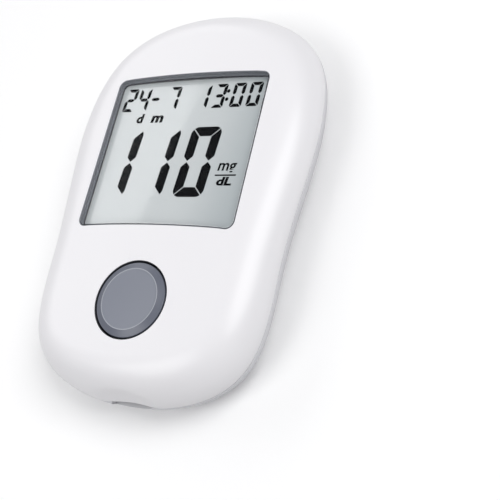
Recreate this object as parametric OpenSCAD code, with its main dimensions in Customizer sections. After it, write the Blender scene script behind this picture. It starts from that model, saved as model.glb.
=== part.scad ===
// Handheld blood glucose meter: two crowned covers, a flush display window over a
// liquid crystal panel, one large dished button, a test strip port in the lower end,
// and a hinged door over two coin cells in the back. The meter lies on its back.
// X runs across the meter, Y towards its top and Z out of the display.
// The origin is on the back face, in the middle of the meter.

/* [Body] */
// Length over the two rounded ends
body_length = 85; // [78:1:96]
// Width of the upper part, round the display
top_width = 56.4; // [54:0.5:62]
// Width of the lower part, round the button
bottom_width = 51.8; // [49:0.5:56]
// Depth of the rear cover, from the back face to the joint line at mid length
rear_depth = 8; // [7.6:0.2:10]
// Height of the front cover, from the same joint line to the front face
front_height = 6.4; // [6.2:0.2:8]
// How far the front face stands proud along the middle of the meter
crown = 0.45; // [0.2:0.05:0.8]
// Width left between the window and the front cover's rounding, at the upper part
face_margin = 2.6; // [2:0.1:3.4]
// How far in from the side the rear cover's rounding reaches
rear_edge = 11; // [9:0.5:12]
// How far the joint line drops at the lower end
lower_dip = 2.3; // [1.5:0.1:2.4]
// How far the joint line drops at the upper end
upper_dip = 1.3; // [0.5:0.1:1.8]
// Wall thickness of both covers
wall = 1.6; // [1.5:0.1:1.8]
// Width of the locating lip that runs inside the joint
lip = 1; // [0.8:0.1:1.2]
// Height of the lip above the joint
lip_rise = 0.9; // [0.6:0.1:1.2]

/* [Display] */
// Width of the window
window_width = 35.8; // [32:0.2:37]
// Height of the window at its sides
window_height = 33.8; // [30:0.2:35]
// Middle of the window, above the middle of the meter
window_y = 7.7; // [6:0.1:9]
// How far the window's upper and lower edges are arched
window_arch = 0.44; // [0.2:0.02:0.8]
// Corner radius of the window
window_corner = 1.6; // [1:0.1:3]
// Thickness of the window pane
pane = 1.1; // [0.8:0.1:1.2]
// Width of the ledge that the pane rests on
ledge = 0.25; // [0.2:0.05:0.5]
// Thickness of the foam gasket between the front cover and the display
gasket = 0.3; // [0.2:0.05:0.5]
// Width of the gasket's bars
gasket_width = 1; // [0.8:0.1:1.2]
// Thickness of one glass plate of the display
glass = 0.55; // [0.4:0.05:0.7]
// Thickness of a polariser film
film = 0.2; // [0.15:0.05:0.3]
// Depth of the contact ledge along the display's upper and lower edges
contact_ledge = 2; // [1.6:0.1:2.4]

/* [Button] */
// Radius of the button cap
button_radius = 7.45; // [6.5:0.05:8]
// Middle of the button, below the middle of the meter
button_drop = 24.2; // [23.5:0.1:25]
// Gap between the cap and its hole
button_gap = 0.35; // [0.25:0.05:0.5]
// Width of the sloping ring round the cap's middle
button_ring = 1.4; // [1.1:0.1:2]
// How far the ring rises inwards
button_rise = 0.45; // [0.2:0.05:0.7]
// How deep the cap's middle is dished for the fingertip
button_dish = 0.45; // [0.2:0.05:0.6]
// Height of the bead round the dished middle
button_bead = 0.1; // [0.05:0.05:0.2]
// How far the button travels
button_travel = 0.5; // [0.3:0.05:0.6]

/* [Strip port] */
// Width of the slot for the test strip
slot_width = 9.2; // [8.6:0.1:10]
// Height of the slot for the test strip
slot_height = 1.5; // [1.3:0.1:1.6]
// Radius of the round scoop above the slot
scoop_radius = 30; // [24:1:36]
// Depth of the scoop in from the lower end
scoop_depth = 1.85; // [1.4:0.05:2]
// Height of the scoop's middle above the joint
scoop_rise = 7.5; // [6:0.5:9]

/* [Circuit board] */
// Thickness of the board
board = 1; // [0.8:0.1:1.2]
// Height of the board's lower face above the back face
board_z = 6.2; // [6.1:0.05:6.4]
// Gap between the board's edge and the covers' outer side
board_margin = 4.2; // [3.8:0.1:4.8]

/* [Batteries] */
// Diameter of a coin cell
cell_diameter = 20; // [20:0.1:20.4]
// Thickness of a coin cell
cell_height = 3.2; // [2.5:0.1:3.2]
// Number of coin cells in line
cells = 2; // [1:1:2]
// Clearance round a cell in its bay
cell_gap = 0.5; // [0.3:0.05:0.7]
// Thickness of the battery door
door = 1.3; // [1.1:0.05:1.4]
// Radius of the two lower corners of the battery door
door_corner = 1.5; // [0.5:0.1:2.5]
// Gap round the battery door
door_gap = 0.2; // [0.15:0.05:0.3]
// Radius of the two pins that the battery door turns on
pivot_radius = 0.42; // [0.3:0.02:0.5]
// Length of each of those pins
pivot_length = 0.9; // [0.6:0.1:1]

/* [Screws] */
// Radius of a housing screw's shank
screw_radius = 1; // [0.8:0.05:1.1]
// Length of a housing screw's shank
screw_length = 7; // [6:0.5:8]
// Radius of a housing screw's head
head_radius = 1.9; // [1.6:0.05:2]

/* [Hidden] */
$fn = 48;

// ---- Shape of the covers ----
front_edge = (top_width - window_width) / 2 - face_margin;  // reach of the front's rounding
rim_steps = 120;                      // points round the side of the meter
top_squareness = 4.4;                 // how square the upper end is
bottom_squareness = 6.4;              // how square the lower end is
flank_low = -16;                      // where the side starts to widen
flank_high = 17;                      // where it reaches the upper width
outer_levels = 9;                     // rings in the rounding outside
inner_levels = 4;                     // rings in the rounding inside
crown_reach = 20;                     // half width over which the crown is measured
fit = 0.1;                            // clearance of a piece in its seat
lip_gap = 0.25;                       // clearance between the lip and the front cover
joint_gap = 0.15;                     // shadow line between the two covers
gasket_gap = 0.15;                    // room above the gasket before it is squeezed
overlap = 0.01;                       // lets a cut pass through a face
corner_steps = 4;                     // segments round a corner of the window
arch_steps = 8;                       // segments along its upper and lower edges

front_z = rear_depth + front_height;  // front face at the sides of the window
inner_front_z = front_z - wall;       // underside of the front wall
root_z = inner_front_z + wall / 3;    // posts and collar end inside the front wall

// ---- Display stack, from the window down ----
film_top = inner_front_z - gasket;
front_glass_z = film_top - film - glass;
rear_glass_z = front_glass_z - glass;
reflector_z = rear_glass_z - film;
glass_margin = 0.7;                   // glass past the window's sides
view_margin = 1.1;                    // and past its upper and lower edges
glass_width = window_width + 2 * glass_margin;
view_height = window_height + 2 * view_margin;
glass_height = view_height + 2 * contact_ledge;
view_drop = 0.35;                     // the panel sits a little low in its window
holder_wall = 1.2;
holder_width = glass_width + 2 * (holder_wall + fit);
holder_height = glass_height + 2 * (holder_wall + fit);
holder_top = rear_glass_z + glass;
shelf = 1;
zebra_gap = 0.2;                      // room on both sides of a contact strip
zebra_end = 0.5;

// ---- Board, switch and button ----
board_top = board_z + board;
board_end = 30;                       // upper edge of the board
board_gap = 0.5;                      // round the posts that pass the board
switch_size = 6;
switch_height = 1.8;
plunger_radius = 1.5;
plunger_rise = 1.2;
switch_floor = 0.4;
running_gap = 0.05;
leg_reach = 0.7;                      // legs of the switch, outside its body
leg_width = 0.8;
plunger_top = board_top + switch_height + plunger_rise;
button_y = -button_drop;
hole_radius = button_radius + button_gap;
collar_width = 1.6;
collar_z = inner_front_z - 0.4;
flange = 1;
flange_reach = 0.8;                   // how far the flange reaches under the collar
stem_radius = 2.4;
button_rim_z = crowned(button_radius);
button_round = 0.15;                  // bevel on the cap's outer edge
middle_radius = button_radius - button_ring;
dish_steps = 6;

// ---- Strip port ----
lower_joint_z = rear_depth - lower_dip;
slot_z = lower_joint_z - slot_height;
scoop_y = -body_length / 2 - scoop_radius + scoop_depth;
scoop_z = lower_joint_z + scoop_rise;
backing = 1.2;                        // thicker wall behind the scoop
connector_floor = 0.6;
connector_width = slot_width + 3.2;
connector_length = 9;
connector_y = -body_length / 2 + wall + 1.8;
connector_end = 1.5;                  // end wall that stops the strip
contact_count = 5;
contact_pitch = 1.4;
contact_width = 0.7;
contact_lead = 1.6;                   // from the connector's mouth, and again to the lowest point
contact_slope = 5;                    // from the contact's tip to where it runs level
contact_tail = 0.8;                   // past the connector's back
contact_lift = 0.6;                   // lowest point above the slot's floor
sheet = 0.2;

// ---- Battery bay ----
bay_wall = 1.4;
bay_width = cell_diameter + 2 * cell_gap;
bay_length = cells * (cell_diameter + cell_gap) + cell_gap;
bay_y = 0.5;
door_ledge = 1.5;
door_lift = 0.15;                     // the door sits this far in from the back face
door_width = bay_width + 2 * door_ledge - 2 * door_gap;
door_length = bay_length + 2 * door_ledge - 2 * door_gap;
door_axis_y = bay_y + door_length / 2 - door / 2;
door_axis_z = door_lift + door / 2;
door_bottom_y = bay_y - door_length / 2;
door_seat_z = door_lift + door;
door_clearance = 0.1;
cell_z = door_seat_z + 0.15;
contact_room = 0.45;
cell_step = 0.4;                      // the negative face stands this much proud of the can
cell_rim = 1.5;                       // width of the can's rim round it
bay_top = cell_z + cell_height + contact_room;
tab_width = 3;
tab_thickness = 1;
tab_rise = 2;
tab_x = bay_width / 2 - tab_width / 2 - 0.4;
tab_y = bay_y - bay_length / 2 + 0.35;
rib_count = 5;
rib_pitch = 1.6;
rib_length = 11;
rib_width = 0.6;
nail_radius = 4;
nail_depth = 0.7;

// ---- Screws ----
upper_screw = [12, 32.5];
lower_screw = [14, -32];
screw_spots = [upper_screw, [-upper_screw.x, upper_screw.y],
               lower_screw, [-lower_screw.x, lower_screw.y]];
head_height = 1.2;
head_z = 1.8;
screw_end_z = head_z + head_height + screw_length;
post_radius = 2.9;
front_post_radius = 2.5;
post_joint_z = board_z + 0.2;
thread_gap = 0.02;
shank_gap = 0.15;                     // round a shank in the piece that it clamps
head_gap = 0.2;                       // round a head in its hole
bore_end = 0.5;                       // room in a bore past the end of its screw
cross_depth = 0.6;
board_screw = [19.5, -20];
board_screw_spots = [board_screw, [-board_screw.x, board_screw.y]];
board_screw_radius = 0.8;
board_screw_length = 4;
board_head_radius = 1.5;
board_head_height = 0.8;
board_post_radius = 2;

// ---- Parts on the board ----
chip_lift = 0.1;                      // a chip's body clears the board by this much
lead_width = 0.3;
lead_reach = 0.9;
lead_sheet = 0.15;
processor_size = [10, 10, 1.2];
processor_spot = [0, 10];
processor_leads = 10;                 // on each of its four sides
measuring_size = [5, 6.2, 1.4];
measuring_spot = [9, -2];
measuring_leads = 6;                  // on each of its two long sides
lead_pitch = 0.85;
crystal_radius = 1;
crystal_length = 6;
crystal_spot = [-10.5, 2];
capacitor_size = [0.8, 1.6, 0.7];
capacitor_spot = [-6, 18.5];
capacitor_pitch = 2.4;
resistor_size = [1.6, 0.8, 0.6];
resistor_spot = [13.5, 6];
resistor_pitch = 2.2;
filter_size = [1.2, 2, 0.9];
filter_spot = [-9.2, -6.5];
filter_pitch = 2.6;
beeper_radius = 4.2;
beeper_height = 1.7;
beeper_y = 2;
peg_radius = 0.7;                     // pegs that locate the display's holder on the board
peg_spread = 30;

// ---- Battery contacts ----
leaf_length = 9;                      // spring at the side of a cell
leaf_drop = 0.4;                      // how far its edges stay inside the cell's height
tongue_length = 12;                   // spring over a cell
tongue_width = 5;
leaf_bow = cell_gap - sheet - fit;    // both springs end just short of a cell
tongue_bow = contact_room - sheet - fit / 2;
leaf_steps = 8;

// ---- Outline of the meter ----
function ease(t) = let (c = min(max(t, 0), 1)) c * c * (3 - 2 * c);
function flank(y) = bottom_width / 2
    + (top_width - bottom_width) / 2 * ease((y - flank_low) / (flank_high - flank_low));
function rim(a) =
    let (s = sin(a), y = body_length / 2 * s, n = s > 0 ? top_squareness : bottom_squareness)
    [flank(y) * sign(cos(a)) * sqrt(1 - pow(abs(s), n)), y];
function inward(a) = let (t = rim(a + 0.5) - rim(a - 0.5)) [-t.y, t.x] / norm(t);
function inset_rim(a, inset) = rim(a) + inset * inward(a);
function joint_z(y) = let (s = y / (body_length / 2))
    rear_depth - (s < 0 ? lower_dip : upper_dip) * s * s;
function crowned(x) = front_z + crown * (1 - pow(x / crown_reach, 2));
function angles() = [for (i = [0 : rim_steps - 1]) 360 * i / rim_steps];

// A ring of the front cover: skin is the depth under the outer surface, turn runs from
// 0 at the joint to 90 where the rounding meets the front face
function front_ring(skin, turn) = [for (a = angles())
    let (p = inset_rim(a, front_edge - (front_edge - skin) * cos(turn)),
         z = joint_z(rim(a).y) + joint_gap)
    [p.x, p.y, z + (crowned(p.x) - skin - z) * sin(turn)]];
function front_face_ring(skin, share) = [for (a = angles())
    let (p = inset_rim(a, front_edge) * share)
    [p.x, p.y, crowned(p.x) - skin]];
function rear_ring(skin, turn) = [for (a = angles())
    let (p = inset_rim(a, rear_edge - (rear_edge - skin) * cos(turn)), z = joint_z(rim(a).y))
    [p.x, p.y, z - (z - skin) * sin(turn)]];
// A ring that follows the joint line, at one inset and one height above the line
function joint_ring(inset, rise) = [for (a = angles())
    let (p = inset_rim(a, inset)) [p.x, p.y, joint_z(rim(a).y) + rise]];

// All rings of one side of the front cover, from the middle of the face to the joint
function front_side(skin, levels) = concat(
    [for (share = [0.35, 0.7]) front_face_ring(skin, share)],
    [for (k = [levels : -1 : 0]) front_ring(skin, 90 * k / levels)]);
// All rings of one side of the rear cover, from the turn at the joint to the back face
function rear_side(skin, levels, first) =
    [for (k = [0 : levels]) rear_ring(skin, first + (90 - first) * k / levels)];
function reversed(list) = [for (i = [len(list) - 1 : -1 : 0]) list[i]];
function flat(list) = [for (part = list) each part];

// A closed skin through rings of the same number of points. Each end closes on a middle point
module loft(rings, first_z, last_z) {
    n = len(rings[0]);
    last = (len(rings) - 1) * n;
    hub = len(rings) * n;
    sides = flat([for (j = [0 : len(rings) - 2], i = [0 : n - 1])
        let (a = j * n + i, b = j * n + (i + 1) % n)
        [[a, b + n, b], [a, a + n, b + n]]]);
    first_cap = [for (i = [0 : n - 1]) [i, (i + 1) % n, hub]];
    last_cap = [for (i = [0 : n - 1]) [last + (i + 1) % n, last + i, hub + 1]];
    polyhedron(concat(flat(rings), [[0, 0, first_z], [0, 0, last_z]]),
               concat(sides, first_cap, last_cap));
}

// ---- Small shapes ----
module box_between(low, high) {
    translate(low) cube(high - low);
}

module centred_box(size, base) {
    translate([base.x - size.x / 2, base.y - size.y / 2, base.z]) cube(size);
}

// The window's outline, with arched upper and lower edges, smaller by inset all round
function arch(x) = window_arch * (1 - pow(2 * x / window_width, 2));
function window_corner_points(x, y, first, inset) = [for (k = [0 : corner_steps])
    let (a = first + 90 * k / corner_steps, r = window_corner - inset)
    [x, y] + r * [cos(a), sin(a)]];
function window_points(inset) =
    let (x = window_width / 2 - window_corner, y = window_height / 2,
         edge = [for (k = [1 : arch_steps - 1]) x * (1 - 2 * k / arch_steps)])
    concat(
        window_corner_points(x, y - window_corner, 0, inset),
        [for (u = edge) [u, y + arch(u) - inset]],
        window_corner_points(-x, y - window_corner, 90, inset),
        window_corner_points(-x, window_corner - y, 180, inset),
        [for (u = edge) [-u, -y + arch(u) + inset]],
        window_corner_points(x, window_corner - y, 270, inset));

module window_prism(inset, low, high) {
    translate([0, window_y, low]) linear_extrude(high - low) polygon(window_points(inset));
}

// A bar with the crown of the front face on its upper side, drop below that face
module crown_bar(drop) {
    reach = crown_reach + 2;
    rotate([90, 0, 0]) linear_extrude(2 * body_length, center = true)
        polygon(concat([for (x = [-reach : 1 : reach]) [x, crowned(x) - drop]],
                       [[reach, 0], [-reach, 0]]));
}

// Everything under the front cover's skin, down to the joint line
module cover_room(skin) {
    loft(reversed(front_side(skin, inner_levels)), lower_joint_z, crowned(0) - skin);
}

module at_spots(spots, z) {
    for (p = spots) translate([p.x, p.y, z]) children();
}

// ---- Covers ----
module front_cover() {
    color("whitesmoke") difference() {
        union() {
            loft(concat(front_side(wall, inner_levels), reversed(front_side(0, outer_levels))),
                 crowned(0) - wall, crowned(0));
            button_collar();
            at_spots(screw_spots, post_joint_z)
                cylinder(r = front_post_radius, h = root_z - post_joint_z);
            at_spots(board_screw_spots, board_top)
                cylinder(r = board_post_radius, h = root_z - board_top);
            scoop_backing();
        }
        window_seat();
        translate([0, button_y, collar_z - overlap])
            cylinder(r = hole_radius, h = front_z + 1 - collar_z);
        translate([0, scoop_y, scoop_z]) sphere(scoop_radius, $fn = 96);
        at_spots(screw_spots, post_joint_z - overlap)
            cylinder(r = screw_radius + thread_gap, h = screw_end_z + bore_end - post_joint_z);
        at_spots(board_screw_spots, board_top - overlap)
            cylinder(r = board_screw_radius + thread_gap, h = board_screw_length - board + bore_end);
    }
}

// Stepped opening: the pane's seat, and the clear view through the ledge
module window_seat() {
    difference() {
        window_prism(0, inner_front_z - 1, front_z + 2 * crown);
        crown_bar(pane);
    }
    window_prism(ledge, inner_front_z - 1, front_z);
}

// Ring under the front wall that stops the button's flange
module button_collar() {
    translate([0, button_y, collar_z])
        cylinder(r = hole_radius + collar_width, h = root_z - collar_z);
}

// Thicker wall behind the scoop
module scoop_backing() {
    box_between([-slot_width, wall - body_length / 2, lower_joint_z + lip_rise + joint_gap + 2 * fit],
                [slot_width, wall + backing - body_length / 2, root_z - wall]);
}

module slot_passage() {
    box_between([-slot_width / 2, -body_length / 2 - 1, slot_z],
                [slot_width / 2, connector_y, slot_z + slot_height + 1]);
}

module rear_cover() {
    color("gainsboro") difference() {
        union() {
            rear_shell();
            bay_walls();
            at_spots(screw_spots, wall / 2)
                cylinder(r = post_radius, h = post_joint_z - wall / 2);
        }
        bay_room();
        pivot_bores();
        nail_notch();
        port_gap();
        at_spots(screw_spots, -1) cylinder(r = head_radius + head_gap, h = head_z + head_height + 1);
        at_spots(screw_spots, 0) cylinder(r = screw_radius + shank_gap, h = post_joint_z + 1);
    }
}

// Shell with its locating lip standing inside the joint
module rear_shell() {
    lip_inset = wall + lip_gap;
    lip_turn = acos((rear_edge - lip_inset - lip) / (rear_edge - wall));
    loft(concat(reversed(rear_side(0, outer_levels, 0)),
                [joint_ring(lip_inset, 0), joint_ring(lip_inset, lip_rise),
                 joint_ring(lip_inset + lip, lip_rise)],
                rear_side(wall, inner_levels, lip_turn)),
         0, wall);
}

// The slot in the wall, and the stretch of lip left out behind it
module port_gap() {
    slot_passage();
    box_between([-connector_width / 2 - 1, -body_length / 2 + wall + overlap, slot_z - 1],
                [connector_width / 2 + 1, connector_y + 1, front_z]);
}

module bay_walls() {
    centred_box([bay_width + 2 * (door_ledge + bay_wall), bay_length + 2 * (door_ledge + bay_wall),
                 board_z - wall / 2], [0, bay_y, wall / 2]);
}

module bay_room() {
    centred_box([bay_width, bay_length, bay_top + 1], [0, bay_y, -1]);
    translate([0, 0, -1]) linear_extrude(door_seat_z + door_clearance + 1)
        door_outline(door_gap, door_axis_y + door / 2 + door_gap);
}

// The door's outline up to end_y, larger by margin on its other three sides
module door_outline(margin, end_y) {
    half = door_width / 2 + margin;
    low = door_bottom_y - margin;
    radius = door_corner + margin;
    translate([-half, low + radius]) square([2 * half, end_y - low - radius]);
    translate([radius - half, low]) square([2 * (half - radius), end_y - low]);
    for (side = [-1, 1]) translate([side * (half - radius), low + radius]) circle(radius);
}

module pivot_bores() {
    along_door_axis(door_width / 2 + pivot_length + 2 * door_gap, pivot_radius + running_gap);
}

module along_door_axis(reach, radius) {
    translate([-reach, door_axis_y, door_axis_z])
        rotate([0, 90, 0]) cylinder(r = radius, h = 2 * reach);
}

// Hollow in the back for the fingernail that opens the door
module nail_notch() {
    translate([0, door_bottom_y, nail_depth - nail_radius])
        rotate([0, 90, 0]) cylinder(r = nail_radius, h = rib_length, center = true);
}

module battery_door() {
    color("gainsboro") {
        translate([0, 0, door_lift]) linear_extrude(door) door_outline(0, door_axis_y);
        along_door_axis(door_width / 2, door / 2);
        along_door_axis(door_width / 2 + pivot_length, pivot_radius);
        for (side = [-1, 1])
            centred_box([tab_width, tab_thickness, tab_rise + overlap],
                        [side * tab_x, tab_y + tab_thickness / 2, door_seat_z - overlap]);
        for (i = [0 : rib_count - 1])
            centred_box([rib_length, rib_width, door_lift + overlap],
                        [0, door_bottom_y + nail_radius + 1 + i * rib_pitch, 0]);
    }
}

// ---- Display ----
module display_window() {
    color([0.85, 0.9, 0.92, 0.35]) difference() {
        intersection() {
            window_prism(fit, inner_front_z, front_z + 2 * crown);
            crown_bar(0);
        }
        crown_bar(pane - fit / 2);
    }
}

// Foam frame that keeps dust out of the space under the window
module display_gasket() {
    color("dimgray") difference() {
        intersection() {
            centred_box([window_width + 2 * gasket_width, window_height + 2 * gasket_width + window_arch,
                         gasket + 2 * crown], [0, window_y, film_top]);
            cover_room(wall + gasket_gap);
        }
        window_prism(ledge, film_top - 1, front_z);
    }
}

module lcd_plate(height, z, thickness) {
    centred_box([glass_width, height, thickness], [0, window_y - view_drop, z]);
}

module lcd_front_polariser() {
    color([0.75, 0.8, 0.78]) lcd_plate(view_height, film_top - film, film);
}

module lcd_front_glass() {
    color([0.8, 0.85, 0.85]) lcd_plate(glass_height, front_glass_z, glass);
}

module lcd_rear_glass() {
    color([0.78, 0.83, 0.83]) lcd_plate(view_height, rear_glass_z, glass);
}

module lcd_reflector() {
    color([0.7, 0.75, 0.72]) lcd_plate(view_height, reflector_z, film);
}

function peg_spots() = [for (side = [-1, 1], end = [-1, 1])
    [side * (holder_width - shelf - holder_wall) / 2, window_y - view_drop + end * peg_spread / 2]];

module lcd_holder() {
    base = [0, window_y - view_drop, board_top];
    color("white") at_spots(peg_spots(), board_z + fit)
        cylinder(r = peg_radius, h = board);
    color("white") difference() {
        centred_box([holder_width, holder_height, holder_top - board_top], base);
        centred_box([glass_width + 2 * fit, glass_height + 2 * fit, glass_height],
                    [base.x, base.y, reflector_z]);
        centred_box([glass_width - 2 * shelf, glass_height + 2 * fit, glass_height],
                    [base.x, base.y, board_top - 1]);
    }
}

module zebra_connectors() {
    color("dimgray") for (side = [-1, 1])
        centred_box([glass_width - 2 * (shelf + zebra_end), contact_ledge - 2 * zebra_gap,
                     front_glass_z - board_top],
                    [0, window_y - view_drop + side * (glass_height - contact_ledge + zebra_gap) / 2,
                     board_top]);
}

// ---- Circuit board ----
module board_outline() {
    difference() {
        polygon([for (a = angles()) inset_rim(a, board_margin)]);
        translate([-body_length, board_end]) square([2 * body_length, body_length]);
        for (p = screw_spots) translate(p) circle(post_radius + board_gap);
        for (p = board_screw_spots) translate(p) circle(board_screw_radius + shank_gap);
        for (p = peg_spots()) translate(p) circle(peg_radius + fit);
    }
}

module circuit_board() {
    color("seagreen") translate([0, 0, board_z]) linear_extrude(board) board_outline();
}

// A row of bent leads that leave one side of a chip and stand on the board
module lead_row(count, side_x, middle_z) {
    for (i = [0 : count - 1])
        translate([0, (i - (count - 1) / 2) * lead_pitch + lead_width / 2, 0])
            rotate([90, 0, 0]) linear_extrude(lead_width) polygon([
                [side_x - overlap, middle_z + lead_sheet], [side_x + lead_reach / 2, middle_z + lead_sheet],
                [side_x + lead_reach / 2 + lead_sheet, lead_sheet], [side_x + lead_reach, lead_sheet],
                [side_x + lead_reach, 0], [side_x + lead_reach / 2, 0],
                [side_x + lead_reach / 2 - lead_sheet, middle_z], [side_x - overlap, middle_z]]);
}

// A moulded chip with leads on as many of its sides as turns has angles
module chip(size, spot, leads, turns) {
    translate([spot.x, spot.y, board_top]) {
        centred_box([size.x, size.y, size.z - chip_lift], [0, 0, chip_lift]);
        for (turn = turns) rotate(turn) lead_row(leads, size.x / 2, size.z / 2);
    }
}

module processor() {
    color("#202020") chip(processor_size, processor_spot, processor_leads, [0, 90, 180, 270]);
}

module measuring_chip() {
    color("#202020") chip(measuring_size, measuring_spot, measuring_leads, [0, 180]);
}

module clock_crystal() {
    color("silver") translate([crystal_spot.x, crystal_spot.y, board_top + crystal_radius])
        rotate([-90, 0, 0]) cylinder(r = crystal_radius, h = crystal_length);
}

module component_row(size, spot, step, count) {
    for (i = [0 : count - 1])
        centred_box(size, [spot.x + i * step.x, spot.y + i * step.y, board_top]);
}

// Capacitors, resistors and filters in rows beside the chips
module board_components() {
    color("tan") {
        component_row(capacitor_size, capacitor_spot, [capacitor_pitch, 0], 6);
        component_row(resistor_size, resistor_spot, [0, resistor_pitch], 4);
        component_row(filter_size, filter_spot, [filter_pitch, 0], 3);
    }
}

module beeper() {
    beeper_x = bay_width / 2 + door_ledge + bay_wall + beeper_radius + 4 * fit;
    color("#303030") translate([beeper_x, beeper_y, board_z - beeper_height])
        cylinder(r = beeper_radius, h = beeper_height);
}

// ---- Button ----
// Section of the cap: a ring that rises inwards to a bead, and a dished middle
module button_section() {
    bead_z = button_rim_z + button_rise;
    polygon(concat(
        [[0, plunger_top], [stem_radius, plunger_top], [stem_radius, collar_z - flange - overlap],
         [hole_radius + flange_reach, collar_z - flange - overlap],
         [hole_radius + flange_reach, collar_z - overlap],
         [button_radius, collar_z - overlap], [button_radius, button_rim_z - button_round],
         [button_radius - button_round, button_rim_z]],
        [for (turn = [30 : 30 : 150])
            [middle_radius + 2 * button_bead * cos(turn), bead_z + button_bead * sin(turn)]],
        [for (k = [1 : dish_steps]) let (r = middle_radius * (1 - k / dish_steps))
            [r, bead_z - button_dish * (1 - pow(r / middle_radius, 2))]]));
}

module main_button() {
    color("slategray") translate([0, button_y, 0]) rotate_extrude($fn = 96) button_section();
}

module switch_body() {
    color("#282828") difference() {
        centred_box([switch_size, switch_size, switch_height], [0, button_y, board_top]);
        translate([0, button_y, board_top + switch_floor])
            cylinder(r = plunger_radius + running_gap, h = switch_height);
    }
    color("silver") for (side = [-1, 1], end = [-1, 1])
        centred_box([leg_reach + overlap, leg_width, sheet],
                    [side * (switch_size + leg_reach - overlap) / 2, button_y + end * switch_size / 3,
                     board_top]);
}

module switch_plunger() {
    foot = board_top + switch_floor + button_travel + fit;
    color("ivory") translate([0, button_y, foot]) cylinder(r = plunger_radius, h = plunger_top - foot);
}

// ---- Strip connector ----
module strip_connector() {
    color("#303030") difference() {
        box_between([-connector_width / 2, connector_y, slot_z - connector_floor],
                    [connector_width / 2, connector_y + connector_length, board_z]);
        box_between([-slot_width / 2, connector_y - 1, slot_z],
                    [slot_width / 2, connector_y + connector_length - connector_end, slot_z + slot_height]);
        for (x = contact_xs())
            box_between([x - contact_width / 2 - fit, connector_y + 1, slot_z + slot_height - overlap],
                        [x + contact_width / 2 + fit, connector_y + connector_length + 1, board_z + 1]);
    }
}

function contact_xs() = [for (i = [0 : contact_count - 1])
    (i - (contact_count - 1) / 2) * contact_pitch];

// Bent springs that press on the strip's end
module strip_contacts() {
    roof = board_z - overlap;
    tip = connector_y + contact_lead;
    end = connector_y + connector_length + contact_tail;
    color("goldenrod") for (x = contact_xs())
        translate([x + contact_width / 2, 0, 0]) rotate([90, 0, -90])
            linear_extrude(contact_width) polygon([
                [-tip, slot_z + slot_height - sheet / 2], [-tip, slot_z + slot_height + sheet / 2],
                [-tip - contact_lead, slot_z + contact_lift + sheet], [-tip - contact_slope, roof],
                [-end, roof], [-end, roof - sheet], [-tip - contact_slope, roof - sheet],
                [-tip - contact_lead, slot_z + contact_lift]]);
}

// ---- Batteries ----
function cell_ys() = [for (i = [0 : cells - 1])
    bay_y + (i - (cells - 1) / 2) * (cell_diameter + cell_gap)];

// A can with the smaller negative face on the side of the board
module coin_cells() {
    color("silver") for (y = cell_ys()) translate([0, y, cell_z]) {
        cylinder(d = cell_diameter, h = cell_height - cell_step, $fn = 96);
        cylinder(d = cell_diameter - 2 * cell_rim, h = cell_height, $fn = 96);
    }
}

// A sheet spring's section: a strip of one length, bowed towards minus X in its middle
module bowed_leaf(length, bow) {
    along = [for (i = [0 : leaf_steps]) 2 * i / leaf_steps - 1];
    bowed = [for (t = along) [-bow * (1 - t * t), t * length / 2]];
    polygon(concat(bowed, [for (p = reversed(bowed)) p + [sheet, 0]]));
}

// Springs between the side of each cell and the bay's wall
module cell_positive_contacts() {
    color("gold") for (y = cell_ys())
        translate([bay_width / 2 - sheet - overlap, y, cell_z + leaf_drop])
            linear_extrude(cell_height - 2 * leaf_drop) bowed_leaf(leaf_length, leaf_bow);
}

// Springs between each cell and the bay's roof
module cell_negative_contacts() {
    color("gold") for (y = cell_ys())
        translate([-tongue_width / 2, y, bay_top - sheet - overlap])
            rotate([0, -90, 180]) mirror([1, 0, 0])
                linear_extrude(tongue_width) bowed_leaf(tongue_length, tongue_bow);
}

// ---- Fasteners ----
module cross_head_screw(radius, length, head, head_tall) {
    difference() {
        union() {
            cylinder(r = head, h = head_tall);
            translate([0, 0, head_tall]) cylinder(r = radius, h = length);
        }
        for (turn = [0, 90]) rotate(turn)
            centred_box([head * 1.3, head * 0.3, cross_depth], [0, 0, -overlap]);
    }
}

module housing_screws() {
    color("silver") at_spots(screw_spots, head_z)
        cross_head_screw(screw_radius, screw_length, head_radius, head_height);
}

module board_screws() {
    color("silver") at_spots(board_screw_spots, board_z - board_head_height)
        cross_head_screw(board_screw_radius, board_screw_length, board_head_radius, board_head_height);
}

front_cover();
rear_cover();
battery_door();
display_window();
display_gasket();
lcd_front_polariser();
lcd_front_glass();
lcd_rear_glass();
lcd_reflector();
lcd_holder();
zebra_connectors();
circuit_board();
processor();
measuring_chip();
clock_crystal();
board_components();
beeper();
main_button();
switch_body();
switch_plunger();
strip_connector();
strip_contacts();
coin_cells();
cell_positive_contacts();
cell_negative_contacts();
housing_screws();
board_screws();
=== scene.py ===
# %% [markdown]
# # A blood glucose meter, dressed for a studio picture
# The meter is a palm-sized white device: two moulded covers, a clear window over a
# liquid crystal display, one large grey button, and a slot for the test strip at its
# lower end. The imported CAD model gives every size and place. This script loads it as a
# fixed frame, makes smooth skins and fine details over it, and gives each surface a
# finish that is worked out from what the real surface is.

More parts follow.
